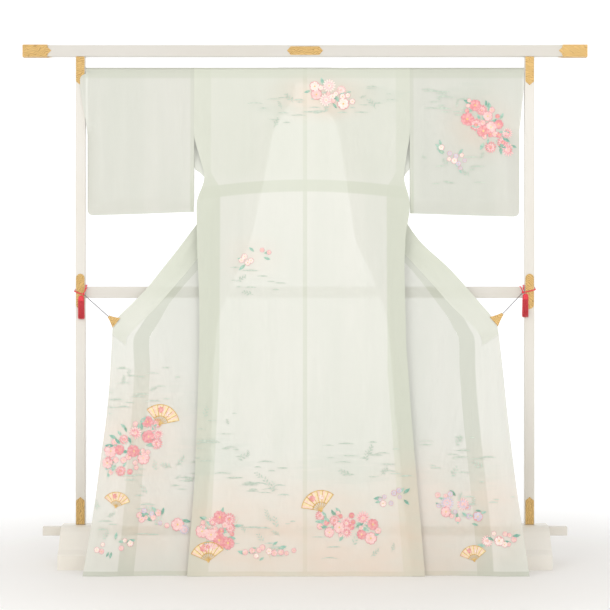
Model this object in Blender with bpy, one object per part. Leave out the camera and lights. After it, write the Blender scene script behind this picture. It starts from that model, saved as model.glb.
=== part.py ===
"""Sheer summer kimono hung on its kimono rack, seen from its back.

Metres, +Z up. The back of the garment faces -Y, left and right are as the viewer sees them from -Y. The origin is
at the middle of the bounding box, on the floor. Depths are measured from the plane of the rack's uprights and
moved by RACK_Y when points are made.
"""
import math
from collections import namedtuple

import bpy
import numpy as np

# Frame
RACK_Y = 0.0708
GAP = 0.0003

# Rack
RAIL_HALF = 0.900
RAIL_Z = (1.621, 1.657)
RAIL_DEPTH = 0.036
POST_X = 0.717
POST_SIZE = 0.031
POST_INNER = POST_X - POST_SIZE / 2
FOOT_TOP = 0.126
FOOT_END = 0.050
FOOT_HALF_WIDTH = 0.057
FOOT_HALF_LENGTH = 0.150
MIDDLE_RAIL_Z = (0.850, 0.886)
LOW_RAIL_Z = (0.091, 0.120)
LOW_RAIL_HALF = 0.838
THIN_RAIL_DEPTH = 0.024
EDGE_BEVEL = 0.0015
POLE_Z = 1.5737
POLE_RADIUS = 0.012
POLE_SIDES = 16

# Gold fittings
PLATE = 0.0012
PLATE_WIDTH = 0.027
CAP_LENGTH = 0.092
CAP_POINT = 0.014
CENTRE_PLATE_LENGTH = 0.115

# Cloth
CLOTH = 0.0012
COLLAR_CLOTH = 0.0020
WRAP = POLE_RADIUS + GAP + CLOTH / 2
SEAM = 0.0005
TURN_SHAPE = 0.4
TURN_EVEN = 0.055
TURN_SHARE = 2.4
TURN_REACH = 0.8
COLLAR_FALL = 0.055
COLLAR_COLUMNS = 7
COLLAR_END = 0.738
ARMHOLE_BOTTOM = 1.376
FRONT_ARMHOLE_BOTTOM = 1.265
SLEEVE_BLEND = 0.22
SEAM_HALF_GAP = 0.0008

WHITE_PAINT = (0.80, 0.76, 0.68)
GOLD = (0.80, 0.50, 0.17)
RED = (0.62, 0.02, 0.04)
GREY = (0.35, 0.36, 0.37)
MINT = (0.76, 0.80, 0.66)
MINT_DEEP = (0.70, 0.76, 0.60)

# One row for each height. side is the side seam or the armhole's edge, fold the turn of the front behind the back.
# okumi, collar and edge are distances along the cloth past that turn, below 0 before it: where the front panel ends,
# where the collar starts and where the collar, or under it the overlap panel, ends.
Section = namedtuple("Section", "height side fold okumi collar edge")
LEFT_SECTIONS = [
    Section(1.530, 0.3536, 0.026, -0.069, -0.069, -0.012),
    Section(1.490, 0.3536, 0.036, -0.060, -0.060, -0.001),
    Section(1.450, 0.3536, 0.064, -0.030, -0.030, 0.030),
    Section(1.410, 0.3536, 0.090, -0.004, -0.004, 0.057),
    Section(1.376, 0.3536, 0.103, 0.009, 0.009, 0.070),
    Section(1.300, 0.3360, 0.117, 0.026, 0.026, 0.089),
    Section(1.235, 0.3203, 0.128, 0.042, 0.046, 0.115),
    Section(1.148, 0.3445, 0.148, 0.056, 0.078, 0.155),
    Section(1.040, 0.3431, 0.172, 0.087, 0.128, 0.212),
    Section(0.940, 0.3388, 0.212, 0.133, 0.163, 0.249),
    Section(0.880, 0.3356, 0.236, 0.162, 0.190, 0.273),
    Section(0.830, 0.3336, 0.258, 0.179, 0.211, 0.299),
    Section(0.787, 0.3332, 0.272, 0.189, 0.239, 0.328),
    Section(0.760, 0.3329, 0.277, 0.200, 0.261, 0.338),
    Section(0.720, 0.3326, 0.281, 0.217, 0.290, 0.336),
    Section(0.620, 0.3338, 0.288, 0.206, 0.290, 0.332),
    Section(0.500, 0.3367, 0.290, 0.208, 0.290, 0.336),
    Section(0.300, 0.3417, 0.296, 0.214, 0.290, 0.351),
    Section(0.140, 0.3515, 0.309, 0.210, 0.290, 0.356),
    Section(0.000, 0.3607, 0.322, 0.208, 0.290, 0.363),
]
RIGHT_SECTIONS = [
    Section(1.530, 0.3344, 0.026, -0.069, -0.069, -0.012),
    Section(1.490, 0.3344, 0.038, -0.058, -0.058, 0.001),
    Section(1.450, 0.3344, 0.068, -0.028, -0.028, 0.032),
    Section(1.410, 0.3344, 0.096, 0.001, 0.001, 0.060),
    Section(1.376, 0.3340, 0.108, 0.012, 0.012, 0.073),
    Section(1.300, 0.3227, 0.120, 0.028, 0.028, 0.092),
    Section(1.235, 0.3152, 0.130, 0.042, 0.046, 0.115),
    Section(1.148, 0.3335, 0.144, 0.056, 0.078, 0.150),
    Section(1.040, 0.3190, 0.160, 0.087, 0.122, 0.204),
    Section(0.940, 0.3152, 0.204, 0.139, 0.164, 0.264),
    Section(0.880, 0.3160, 0.228, 0.163, 0.194, 0.294),
    Section(0.830, 0.3166, 0.246, 0.182, 0.219, 0.319),
    Section(0.787, 0.3172, 0.258, 0.201, 0.251, 0.343),
    Section(0.760, 0.3176, 0.262, 0.211, 0.276, 0.354),
    Section(0.720, 0.3181, 0.266, 0.226, 0.299, 0.355),
    Section(0.620, 0.3239, 0.274, 0.219, 0.299, 0.356),
    Section(0.500, 0.3312, 0.282, 0.217, 0.299, 0.357),
    Section(0.300, 0.3456, 0.298, 0.217, 0.299, 0.359),
    Section(0.140, 0.3575, 0.313, 0.214, 0.299, 0.362),
    Section(0.000, 0.3668, 0.326, 0.207, 0.299, 0.366),
]
SECTIONS = {-1: LEFT_SECTIONS, 1: RIGHT_SECTIONS}

# How far behind the back panel the front's first leg hangs, at its side edge and at its turn, and how far apart its
# two legs are at the turn.
Offset = namedtuple("Offset", "height at_side at_turn apart")
OFFSETS = [
    Offset(1.530, 0.0258, 0.0258, 0.026),
    Offset(1.376, 0.0258, 0.0258, 0.022),
    Offset(1.235, 0.0018, 0.0160, 0.014),
    Offset(0.900, 0.0018, 0.0090, 0.012),
    Offset(0.000, 0.0018, 0.0060, 0.012),
]

# Depth of the fronts' free edges, from the rack's plane.
EdgeDepth = namedtuple("EdgeDepth", "height depth")
EDGE_DEPTHS = [
    EdgeDepth(1.530, 0.034),
    EdgeDepth(1.376, 0.024),
    EdgeDepth(1.235, 0.000),
    EdgeDepth(1.040, -0.020),
    EdgeDepth(0.780, -0.045),
    EdgeDepth(0.400, -0.150),
    EdgeDepth(0.000, -0.288),
]

# Soft folds in the hanging cloth: x at the top and at the hem, width, depth at the hem and the height where it starts.
Drape = namedtuple("Drape", "top_x hem_x width depth start")
DRAPES = [
    Drape(-0.560, -0.600, 0.040, -0.007, 0.74),
    Drape(-0.440, -0.450, 0.042, 0.006, 0.70),
    Drape(-0.150, -0.170, 0.060, 0.005, 0.90),
    Drape(0.130, 0.150, 0.060, 0.005, 0.90),
    Drape(0.430, 0.450, 0.042, 0.006, 0.70),
    Drape(0.560, 0.610, 0.040, -0.007, 0.74),
]

# Rows shared by the body pieces, so that their seams keep the same course, and more where the collar turns over.
TURN_ROWS = [1.510, 1.470, 1.430, 1.420, 1.400, 1.388]
HANGING_ROWS = [
    1.530, 1.490, 1.450, 1.410, 1.376, 1.315, 1.265, 1.235, 1.170, 1.100, 1.040, 0.970, 0.905, 0.845, 0.787,
    0.760, 0.738, 0.720, 0.600, 0.450, 0.300, 0.150, 0.0005,
]
FRONT_ROWS = sorted(HANGING_ROWS + TURN_ROWS, reverse=True)
POLE_ANGLES = [0.0, 22.5, 45.0, 67.5, 90.0]

# Outer edge of each sleeve: fold over the pole, then down to the cuff's stop. The left one laps over its upright.
Cuff = namedtuple("Cuff", "height reach")
CUFF_EDGES = {
    -1: [
        Cuff(1.5737, 0.6995), Cuff(1.566, 0.7000), Cuff(1.559, 0.7130), Cuff(1.550, 0.7178), Cuff(1.530, 0.7180),
        Cuff(1.490, 0.7130), Cuff(1.450, 0.7065), Cuff(1.410, 0.6990), Cuff(1.376, 0.6960), Cuff(1.300, 0.6955),
        Cuff(1.100, 0.6955),
    ],
    1: [
        Cuff(1.5737, 0.6995), Cuff(1.566, 0.7000), Cuff(1.559, 0.7003), Cuff(1.550, 0.7003), Cuff(1.530, 0.6995),
        Cuff(1.490, 0.6960), Cuff(1.450, 0.6920), Cuff(1.410, 0.6880), Cuff(1.376, 0.6845), Cuff(1.300, 0.6850),
        Cuff(1.100, 0.6865),
    ],
}
SLEEVE_INNER = {-1: 0.3536, 1: 0.3344}
SLEEVE_BOTTOM = {-1: (1.1240, 1.1134), 1: (1.1190, 1.1095)}
SLEEVE_CORNER = 0.018
SLEEVE_ROWS = [1.566, 1.559, 1.550, 1.530, 1.490, 1.450, 1.410, 1.376]
SLEEVE_SHARES = [0.22, 0.45, 0.66, 0.82, 0.93, 0.975, 1.0]
SLEEVE_COLUMNS = 7
LAP_DEPTH = 0.0066
LAP_START = 0.655

# Clips, cords, ties and tassels, one entry for each side
Tie = namedtuple("Tie", "knot_x knot_z tassel_x clip_apex clip_jaw")
TIES = {
    -1: Tie(-0.7065, 0.8620, -0.7140, (-0.6229, 0.7897), (-0.5986, 0.7708)),
    1: Tie(0.6955, 0.8680, 0.7030, (0.6270, 0.7985), (0.5995, 0.7745)),
}
CORD_RADIUS = 0.0011
TIE_RADIUS = 0.0020
KNOT_RADIUS = 0.0045
TASSEL_LENGTH = 0.078
TASSEL_HEAD = 0.017
TASSEL_HALF_WIDTH = 0.0105
TASSEL_HALF_DEPTH = 0.0050
TASSEL_GRID = (6, 4)
LEAF = 0.0010
LEAF_CLEARANCE = 0.00045
JAW_HALF_WIDTH = 0.0195
APEX_HALF_WIDTH = 0.0045


def clear_scene():
    for thing in list(bpy.data.objects):
        bpy.data.objects.remove(thing, do_unlink=True)


def make_material(name, colour, roughness, metallic=0.0):
    material = bpy.data.materials.new(name)
    material.use_nodes = True
    shader = material.node_tree.nodes["Principled BSDF"]
    shader.inputs["Base Color"].default_value = (*colour, 1.0)
    shader.inputs["Roughness"].default_value = roughness
    shader.inputs["Metallic"].default_value = metallic
    return material


def smooth_value(rows, column, height):
    """Reads a column of a table at a height, by a monotone cubic through its rows."""
    ordered = sorted(rows, key=lambda row: row.height)
    z = [row.height for row in ordered]
    v = [getattr(row, column) for row in ordered]
    if height <= z[0]:
        return v[0]
    if height >= z[-1]:
        return v[-1]
    secants = [(v[i + 1] - v[i]) / (z[i + 1] - z[i]) for i in range(len(z) - 1)]
    slopes = [secants[0]]
    for before, after in zip(secants, secants[1:]):
        slopes.append(2 * before * after / (before + after) if before * after > 0 else 0.0)
    slopes.append(secants[-1])
    i = max(k for k in range(len(z) - 1) if z[k] <= height)
    span = z[i + 1] - z[i]
    t = (height - z[i]) / span
    return (
        (1 + 2 * t) * (1 - t) ** 2 * v[i]
        + t * (1 - t) ** 2 * span * slopes[i]
        + t * t * (3 - 2 * t) * v[i + 1]
        + t * t * (t - 1) * span * slopes[i + 1]
    )


def ease(value):
    value = min(max(value, 0.0), 1.0)
    return value * value * (3 - 2 * value)


def mesh_object(name, points, faces, material, smooth=False):
    """Makes one closed mesh and turns its faces outward by the sign of its volume."""
    volume = 0.0
    for face in faces:
        first = points[face[0]]
        for second, third in zip(face[1:], face[2:]):
            volume += float(np.dot(first, np.cross(points[second], points[third])))
    if volume < 0:
        faces = [(face[0], *reversed(face[1:])) for face in faces]
    mesh = bpy.data.meshes.new(name)
    mesh.from_pydata([tuple(map(float, point)) for point in points], [], faces)
    mesh.materials.append(material)
    if smooth:
        mesh.shade_smooth()
        mesh.set_sharp_from_angle(angle=math.radians(40))
    thing = bpy.data.objects.new(name, mesh)
    bpy.context.collection.objects.link(thing)
    return thing


def with_normals(grid, level_end=False):
    """Adds to each point of a grid its normal: square to the pole on the pole, else from its neighbours."""
    grid = np.asarray(grid, dtype=float)
    normals = np.cross(np.gradient(grid, axis=0), np.gradient(grid, axis=1))
    if level_end:
        normals[-1, :, 2] = 0.0
    radial = grid - np.array([0.0, RACK_Y, POLE_Z])
    radial[..., 0] = 0.0
    above = radial[..., 2] > 1e-6
    facing = np.sign((radial * normals).sum(axis=2))
    normals[above] = (radial * facing[..., None])[above]
    normals /= np.linalg.norm(normals, axis=2, keepdims=True)
    return np.concatenate([grid, normals], axis=2)


def sheet_solid(name, patches, thickness, material):
    """Gives grids of points with normals a wall around their mid surface. Grids join where they share points."""
    places = {}
    entries = []
    quads = []
    for patch in patches:
        patch = np.asarray(patch, dtype=float)
        rows, columns = patch.shape[:2]
        index = np.zeros((rows, columns), dtype=int)
        for r in range(rows):
            for c in range(columns):
                key = tuple(np.round(patch[r, c, :3], 6))
                if key not in places:
                    places[key] = len(entries)
                    entries.append(patch[r, c])
                index[r, c] = places[key]
        for r in range(rows - 1):
            for c in range(columns - 1):
                quads.append(tuple(int(i) for i in (index[r, c], index[r, c + 1], index[r + 1, c + 1], index[r + 1, c])))
    entries = np.array(entries)
    shift = len(entries)
    points = np.concatenate([
        entries[:, :3] + entries[:, 3:] * thickness / 2,
        entries[:, :3] - entries[:, 3:] * thickness / 2,
    ])
    faces = list(quads)
    faces += [tuple(i + shift for i in (a, d, c, b)) for a, b, c, d in quads]
    edges = {(quad[k], quad[(k + 1) % 4]) for quad in quads for k in range(4)}
    for a, b in sorted(edges):
        if (b, a) not in edges:
            falling = entries[a][2] > entries[b][2]
            faces.append((b, a, a + shift, b + shift) if falling else (b + shift, b, a, a + shift))
    return mesh_object(name, points, faces, material, smooth=True)


def box(name, low, high, material, bevel=EDGE_BEVEL):
    points = [(x, y, z) for x in (low[0], high[0]) for y in (low[1], high[1]) for z in (low[2], high[2])]
    faces = [(0, 1, 3, 2), (4, 6, 7, 5), (0, 4, 5, 1), (2, 3, 7, 6), (0, 2, 6, 4), (1, 5, 7, 3)]
    thing = mesh_object(name, np.array(points), faces, material)
    if bevel:
        modifier = thing.modifiers.new("Bevel", "BEVEL")
        modifier.width = bevel
        modifier.segments = 1
    return thing


def extruded(name, outline, direction, start, end, material):
    """Extrudes an outline of two coordinates along an axis: direction is 0 for X and 1 for Y."""
    layers = []
    for reach in (start, end):
        for first, second in outline:
            layers.append((reach, first, second) if direction == 0 else (first, reach, second))
    count = len(outline)
    faces = [tuple(range(count)), tuple(range(2 * count - 1, count - 1, -1))]
    for i in range(count):
        j = (i + 1) % count
        faces.append((i, i + count, j + count, j))
    return mesh_object(name, np.array(layers), faces, material)


def tube(name, path, radius, sides, material):
    """A round tube along a path of points, with flat closed ends."""
    path = np.asarray(path, dtype=float)
    tangents = np.gradient(path, axis=0)
    tangents /= np.linalg.norm(tangents, axis=1, keepdims=True)
    reference = np.array([0.0, 0.0, 1.0]) if abs(tangents[0][2]) < 0.9 else np.array([0.0, 1.0, 0.0])
    points = []
    for point, tangent in zip(path, tangents):
        side = np.cross(reference, tangent)
        side /= np.linalg.norm(side)
        reference = np.cross(tangent, side)
        for k in range(sides):
            turn = 2 * math.pi * k / sides
            points.append(point + radius * (math.cos(turn) * side + math.sin(turn) * reference))
    faces = [tuple(range(sides)), tuple(range(len(points) - 1, len(points) - sides - 1, -1))]
    for ring in range(len(path) - 1):
        for k in range(sides):
            here = ring * sides + k
            there = ring * sides + (k + 1) % sides
            faces.append((here, here + sides, there + sides, there))
    return mesh_object(name, np.array(points), faces, material, smooth=True)


def curve_points(route, count):
    """Evenly spread points on a smooth curve through a few route points."""
    route = np.asarray(route, dtype=float)
    steps = np.concatenate([[0], np.cumsum(np.linalg.norm(np.diff(route, axis=0), axis=1))])
    padded = np.vstack([2 * route[0] - route[1], route, 2 * route[-1] - route[-2]])
    result = []
    for distance in np.linspace(0, steps[-1], count):
        i = min(int(np.searchsorted(steps, distance, side="right")) - 1, len(route) - 2)
        t = (distance - steps[i]) / (steps[i + 1] - steps[i])
        a, b, c, d = padded[i : i + 4]
        result.append(
            0.5 * (2 * b + (c - a) * t + (2 * a - 5 * b + 4 * c - d) * t * t + (3 * b - a - 3 * c + d) * t ** 3)
        )
    return result


# Rack

def foot_outline():
    """Side profile of a foot: a crest that carries the upright, and rounded shoulders down to the ends."""
    crest = 0.034
    steps = 6
    half = [(FOOT_HALF_LENGTH, 0.0), (FOOT_HALF_LENGTH, FOOT_END - 0.006), (FOOT_HALF_LENGTH - 0.006, FOOT_END)]
    for k in range(1, steps + 1):
        share = k / steps
        reach = FOOT_HALF_LENGTH - 0.006 - share * (FOOT_HALF_LENGTH - 0.006 - crest)
        half.append((reach, FOOT_END + (FOOT_TOP - FOOT_END) * math.sin(share * math.pi / 2) ** 1.5))
    mirrored = [(-reach, height) for reach, height in reversed(half)]
    return [(RACK_Y + reach, height) for reach, height in half + mirrored]


def build_rack(paint):
    half_rail = RAIL_DEPTH / 2
    half_post = POST_SIZE / 2
    half_thin = THIN_RAIL_DEPTH / 2
    box("top_rail", (-RAIL_HALF, RACK_Y - half_rail, RAIL_Z[0]), (RAIL_HALF, RACK_Y + half_rail, RAIL_Z[1]), paint)
    reach = POST_INNER - GAP
    box(
        "middle_rail", (-reach, RACK_Y - half_thin, MIDDLE_RAIL_Z[0]), (reach, RACK_Y + half_thin, MIDDLE_RAIL_Z[1]),
        paint,
    )
    box(
        "bottom_rail", (-LOW_RAIL_HALF, RACK_Y - half_thin, LOW_RAIL_Z[0]),
        (LOW_RAIL_HALF, RACK_Y + half_thin, LOW_RAIL_Z[1]), paint,
    )
    for side, word in ((-1, "left"), (1, "right")):
        x = side * POST_X
        box(
            f"upright_{word}", (x - half_post, RACK_Y - half_post, FOOT_TOP + GAP),
            (x + half_post, RACK_Y + half_post, RAIL_Z[0] - GAP), paint,
        )
        foot = extruded(
            f"foot_{word}", foot_outline(), 0, x - FOOT_HALF_WIDTH, x + FOOT_HALF_WIDTH, paint
        )
        cutter = box(
            f"mortise_{word}", (x - 0.1, RACK_Y - half_thin - GAP, LOW_RAIL_Z[0] - GAP),
            (x + 0.1, RACK_Y + half_thin + GAP, LOW_RAIL_Z[1] + GAP), paint, bevel=0,
        )
        cutter.hide_render = True
        cutter.display_type = "WIRE"
        cut = foot.modifiers.new("Mortise", "BOOLEAN")
        cut.object = cutter
        cut.operation = "DIFFERENCE"
        cut.solver = "EXACT"


def build_pole(paint):
    ends = (-(POST_INNER - GAP), POST_INNER - GAP)
    outline = []
    for k in range(POLE_SIDES):
        turn = 2 * math.pi * k / POLE_SIDES
        outline.append((RACK_Y + POLE_RADIUS * math.cos(turn), POLE_Z + POLE_RADIUS * math.sin(turn)))
    pole = extruded("pole", outline, 0, ends[0], ends[1], paint)
    pole.data.shade_smooth()
    pole.data.set_sharp_from_angle(angle=math.radians(40))


# Gold fittings

def rail_cap(name, side, gold):
    """A closed cap over the rail's end whose four walls run out in points."""
    half = RAIL_DEPTH / 2 + GAP
    height = (RAIL_Z[1] - RAIL_Z[0]) / 2 + GAP
    centre_z = (RAIL_Z[0] + RAIL_Z[1]) / 2
    shares = (-1.0, -0.55, 0.0, 0.55)
    lengths = (CAP_LENGTH - CAP_POINT, CAP_LENGTH - 0.8 * CAP_POINT, CAP_LENGTH, CAP_LENGTH - 0.8 * CAP_POINT)
    corners = [(1, -1), (1, 1), (-1, 1), (-1, -1)]
    ring = []
    for k, (start, end) in enumerate(zip(corners, corners[1:] + corners[:1])):
        for share, length in zip(shares, lengths):
            t = (share + 1) / 2
            ring.append((start[0] + (end[0] - start[0]) * t, start[1] + (end[1] - start[1]) * t, length))
    end_x = RAIL_HALF + GAP
    layers = []
    for wall, reach in ((PLATE, "end"), (PLATE, "rim"), (0.0, "rim"), (0.0, "end")):
        for across, up, length in ring:
            x = end_x + wall if reach == "end" else end_x + PLATE - length
            layers.append((side * x, RACK_Y + across * (half + wall), centre_z + up * (height + wall)))
    count = len(ring)
    faces = [tuple(range(count)), tuple(range(4 * count - 1, 3 * count - 1, -1))]
    for layer in range(3):
        for k in range(count):
            here = layer * count + k
            there = layer * count + (k + 1) % count
            faces.append((here, here + count, there + count, there))
    mesh_object(name, np.array(layers), faces, gold)


def plate(name, centre_x, low, high, front, gold, ends):
    """A flat fitting on a front face, upright unless ends says level. Its ends are pointed or round."""
    half = PLATE_WIDTH / 2
    tip = {"point": [(1.0, -0.012), (0.55, -0.0065), (0.42, -0.0055), (0.0, 0.0)],
           "round": [(1.0, -0.0135), (0.92, -0.0083), (0.707, -0.004), (0.38, -0.001), (0.0, 0.0)],
           "flat": [(1.0, 0.0)]}
    top = [(share * half, high + drop) for share, drop in tip[ends[0]]]
    bottom = [(share * half, low - drop) for share, drop in tip[ends[1]]]
    outline = top + [(-x, z) for x, z in reversed(top) if x > 0]
    outline += [(-x, z) for x, z in bottom] + [(x, z) for x, z in reversed(bottom) if x > 0]
    if ends[2:] == ("level",):
        centre = (RAIL_Z[0] + RAIL_Z[1]) / 2
        outline = [(z + centre_x, x + centre) for x, z in outline]
    else:
        outline = [(x + centre_x, z) for x, z in outline]
    extruded(name, outline, 1, front - GAP - PLATE, front - GAP, gold)


def build_fittings(gold):
    rail_front = RACK_Y - RAIL_DEPTH / 2
    post_front = RACK_Y - POST_SIZE / 2
    half = CENTRE_PLATE_LENGTH / 2
    plate("rail_plate_centre", 0.0, -half, half, rail_front, gold, ("point", "point", "level"))
    for side, word in ((-1, "left"), (1, "right")):
        x = side * POST_X
        rail_cap(f"rail_cap_{word}", side, gold)
        plate(f"top_plate_{word}", x, 1.529, 1.6205, post_front, gold, ("flat", "point"))
        plate(f"middle_plate_{word}", x, 0.815, 0.927, post_front, gold, ("round", "round"))
        plate(f"base_plate_{word}", x, FOOT_TOP + 0.001, 0.215, post_front, gold, ("point", "flat"))


# Kimono body

def back_depth(height):
    fall = max(0.0, 1 - height / POLE_Z)
    return -WRAP - 0.060 * fall - 0.217 * fall ** 2.2


def drape_depth(x, height):
    total = 0.0
    for drape in DRAPES:
        if height >= drape.start:
            continue
        fall = 1 - height / drape.start
        centre = drape.top_x + (drape.hem_x - drape.top_x) * fall
        total += drape.depth * ease(fall * 1.3) * math.exp(-(((x - centre) / drape.width) ** 2))
    return total


def front_side(side, height):
    """Outer edge of the front panel: the armhole's edge, then a short slant to the side seam."""
    seam = smooth_value(SECTIONS[side], "side", min(height, 1.235))
    armhole = SLEEVE_INNER[side] - SEAM / 2
    share = ease((height - 1.235) / (FRONT_ARMHOLE_BOTTOM - 1.235))
    return seam + (armhole - seam) * share


def front_point(side, height, along):
    """A point of the front's cloth: along is measured past its turn, below 0 before it."""
    fold = smooth_value(SECTIONS[side], "fold", height)
    outer = front_side(side, height)
    back = back_depth(height)
    apart = smooth_value(OFFSETS, "apart", height)
    turn = TURN_SHAPE * apart
    reach = math.hypot(along, turn)
    x = fold + reach - turn
    at_side = smooth_value(OFFSETS, "at_side", height)
    at_turn = smooth_value(OFFSETS, "at_turn", height)
    first = back + at_side + (at_turn - at_side) * ease((outer - x) / (outer - fold))
    start = back + at_turn + apart
    share = min(max((x - fold) / max(smooth_value(SECTIONS[side], "edge", height), 0.06), 0.0), 1.0)
    second = start + (max(smooth_value(EDGE_DEPTHS, "depth", height), back + 0.002) - start) * share
    blend = 0.5 * (1 + along / reach)
    depth = first + (second - first) * blend
    return np.array([side * x, RACK_Y + depth + blend * drape_depth(side * x, height), height])


def front_entry(side, height, along):
    """A point of the front's cloth with its normal, which points away from the viewer before the turn."""
    step = 0.0004
    run = front_point(side, height, along + step) - front_point(side, height, along - step)
    rise = front_point(side, height + step, along) - front_point(side, height - step, along)
    normal = side * np.cross(run, rise)
    if height == HANGING_ROWS[-1]:
        normal[2] = 0.0
    return np.concatenate([front_point(side, height, along), normal / np.linalg.norm(normal)])


def front_start(side, height):
    """Distance before the turn at which the front panel has its outer edge."""
    turn = TURN_SHAPE * smooth_value(OFFSETS, "apart", height)
    run = front_side(side, height) - smooth_value(SECTIONS[side], "fold", height) + turn
    return -math.sqrt(run * run - turn * turn)


def spread(height, start, end, columns):
    """Places along the cloth, evenly spread but for closer ones around the turn at 0."""
    fine = np.linspace(start, end, 400)
    reach = TURN_REACH * smooth_value(OFFSETS, "apart", height)
    weight = fine / TURN_EVEN + TURN_SHARE * np.tanh(fine / reach)
    return np.interp(np.linspace(weight[0], weight[-1], columns), weight, fine)


def over_pole(x, angle, side_of_pole, radius=WRAP):
    """A point of cloth on the pole: angle from its level line up to its crest, on the near or the far side."""
    turn = math.radians(min(angle, 90 - math.degrees(SEAM / 2 / WRAP)))
    return np.array([x, RACK_Y + side_of_pole * radius * math.cos(turn), POLE_Z + radius * math.sin(turn)])


def pole_entry(point):
    """A point of cloth on the pole with the normal that points straight away from the pole."""
    normal = point - np.array([point[0], RACK_Y, POLE_Z])
    return np.concatenate([point, normal / np.linalg.norm(normal)])


def back_grid(side):
    columns = 6
    grid = []
    for angle in reversed(POLE_ANGLES):
        width = SLEEVE_INNER[side] - SEAM / 2
        grid.append([over_pole(side * x, angle, -1) for x in np.linspace(SEAM / 2, width, columns)])
    for height in HANGING_ROWS:
        width = smooth_value(SECTIONS[side], "side", height) - SEAM / 2
        row = []
        for x in np.linspace(SEAM / 2, width, columns):
            calm = ease((width - x) / 0.05)
            depth = back_depth(height) + calm * drape_depth(side * x, height)
            row.append((side * x, RACK_Y + depth, height))
        grid.append(row)
    return grid


def front_grid(side):
    columns = 16
    grid = []
    top = HANGING_ROWS[0]
    start = front_start(side, top)
    end = smooth_value(SECTIONS[side], "okumi", top) - SEAM / 2
    for angle in reversed(POLE_ANGLES):
        row = [front_point(side, top, along) for along in spread(top, start, end, columns)]
        grid.append([pole_entry(over_pole(point[0], angle, 1)) for point in row])
    for height in FRONT_ROWS:
        start = front_start(side, height)
        end = smooth_value(SECTIONS[side], "okumi", height) - SEAM / 2
        grid.append([front_entry(side, height, along) for along in spread(height, start, end, columns)])
    return grid


def okumi_grid(side):
    """The overlap panel: a sliver beside the collar that widens to the full panel under the collar's end."""
    columns = 5
    grid = []
    heights = [height for height in HANGING_ROWS if height <= 1.180]
    for height in heights:
        start = smooth_value(SECTIONS[side], "okumi", height) + SEAM / 2
        if height > COLLAR_END:
            end = smooth_value(SECTIONS[side], "collar", height) - SEAM / 2
        else:
            end = smooth_value(SECTIONS[side], "edge", height)
        if height == COLLAR_END:
            seam = smooth_value(SECTIONS[side], "collar", height) - SEAM / 2
            grid.append([front_entry(side, height, along) for along in np.linspace(start, seam, columns)])
            height -= 0.0006
        grid.append([front_entry(side, height, along) for along in np.linspace(start, end, columns)])
    return grid


def neck_point(x, fall):
    """A point on the far side of the pole: fall is the cloth's length down from the crest."""
    quarter = WRAP * math.pi / 2
    extra = (COLLAR_CLOTH - CLOTH) / 2
    if fall < quarter:
        return over_pole(x, math.degrees(math.pi / 2 - fall / WRAP), 1, WRAP + extra)
    height = POLE_Z - (fall - quarter)
    share = ease((height - HANGING_ROWS[0]) / (POLE_Z - HANGING_ROWS[0]))
    return np.array([x, RACK_Y + back_depth(height) + 2 * WRAP + extra * share, height])


def neck_entry(x, fall):
    point = neck_point(x, fall)
    return pole_entry(point) if point[2] > POLE_Z else np.concatenate([point, [0.0, 1.0, 0.0]])


def collar_patches():
    """The back neck over the pole, and on each side of it an arm down to the clip."""
    quarter = WRAP * math.pi / 2
    top = SECTIONS[1][0]
    neck_x, seam_x = (front_point(1, top.height, along)[0] for along in (top.edge, top.collar + SEAM / 2))
    arm_x = np.linspace(neck_x, seam_x, COLLAR_COLUMNS)
    across = np.concatenate([-arm_x[::-1], np.linspace(-neck_x, neck_x, 4)[1:-1], arm_x])
    falls = list(np.linspace(0.0, quarter, len(POLE_ANGLES))) + [0.6 * COLLAR_FALL, COLLAR_FALL]
    patches = [[[neck_entry(x, fall) for x in across] for fall in falls]]
    for side in (-1, 1):
        rows = [[neck_entry(side * x, COLLAR_FALL) for x in arm_x]]
        for height in FRONT_ROWS:
            if height < COLLAR_END:
                break
            level = height if height > COLLAR_END else COLLAR_END + GAP
            start = smooth_value(SECTIONS[side], "collar", level) + SEAM / 2
            end = smooth_value(SECTIONS[side], "edge", level)
            places = spread(level, start, end, COLLAR_COLUMNS)[::-1]
            rows.append([front_entry(side, level, along) for along in places])
        patches.append(rows if side > 0 else [row[::-1] for row in rows])
    return patches


# Sleeves

def sleeve_point(side, x, height, layer):
    """A point of a sleeve's near layer, -1, or far layer, 1. The layers meet at the bottom and below the cuff."""
    inner = SLEEVE_INNER[side]
    share = (x - inner) / (cuff_reach(side, 1.30) - inner)
    bottom = SLEEVE_BOTTOM[side][0] + (SLEEVE_BOTTOM[side][1] - SLEEVE_BOTTOM[side][0]) * share
    middle = (back_depth(height) + WRAP) * (1 - ease((x - inner) / SLEEVE_BLEND))
    under_cuff = 1 - ease((height - 1.355) / 0.045)
    open_end = 1 - under_cuff * (1 - ease((cuff_reach(side, height) - x) / 0.045))
    open_bottom = ease((height - bottom) / 0.050)
    apart = SEAM_HALF_GAP + (WRAP - SEAM_HALF_GAP) * open_end * open_bottom
    depth = middle + layer * apart
    if layer < 0 and side < 0 and height > ARMHOLE_BOTTOM:
        depth -= LAP_DEPTH * ease((x - LAP_START) / 0.04) * ease((height - ARMHOLE_BOTTOM) / 0.05)
    return np.array([side * x, RACK_Y + depth, height])


def cuff_reach(side, height):
    return smooth_value(CUFF_EDGES[side], "reach", height)


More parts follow.
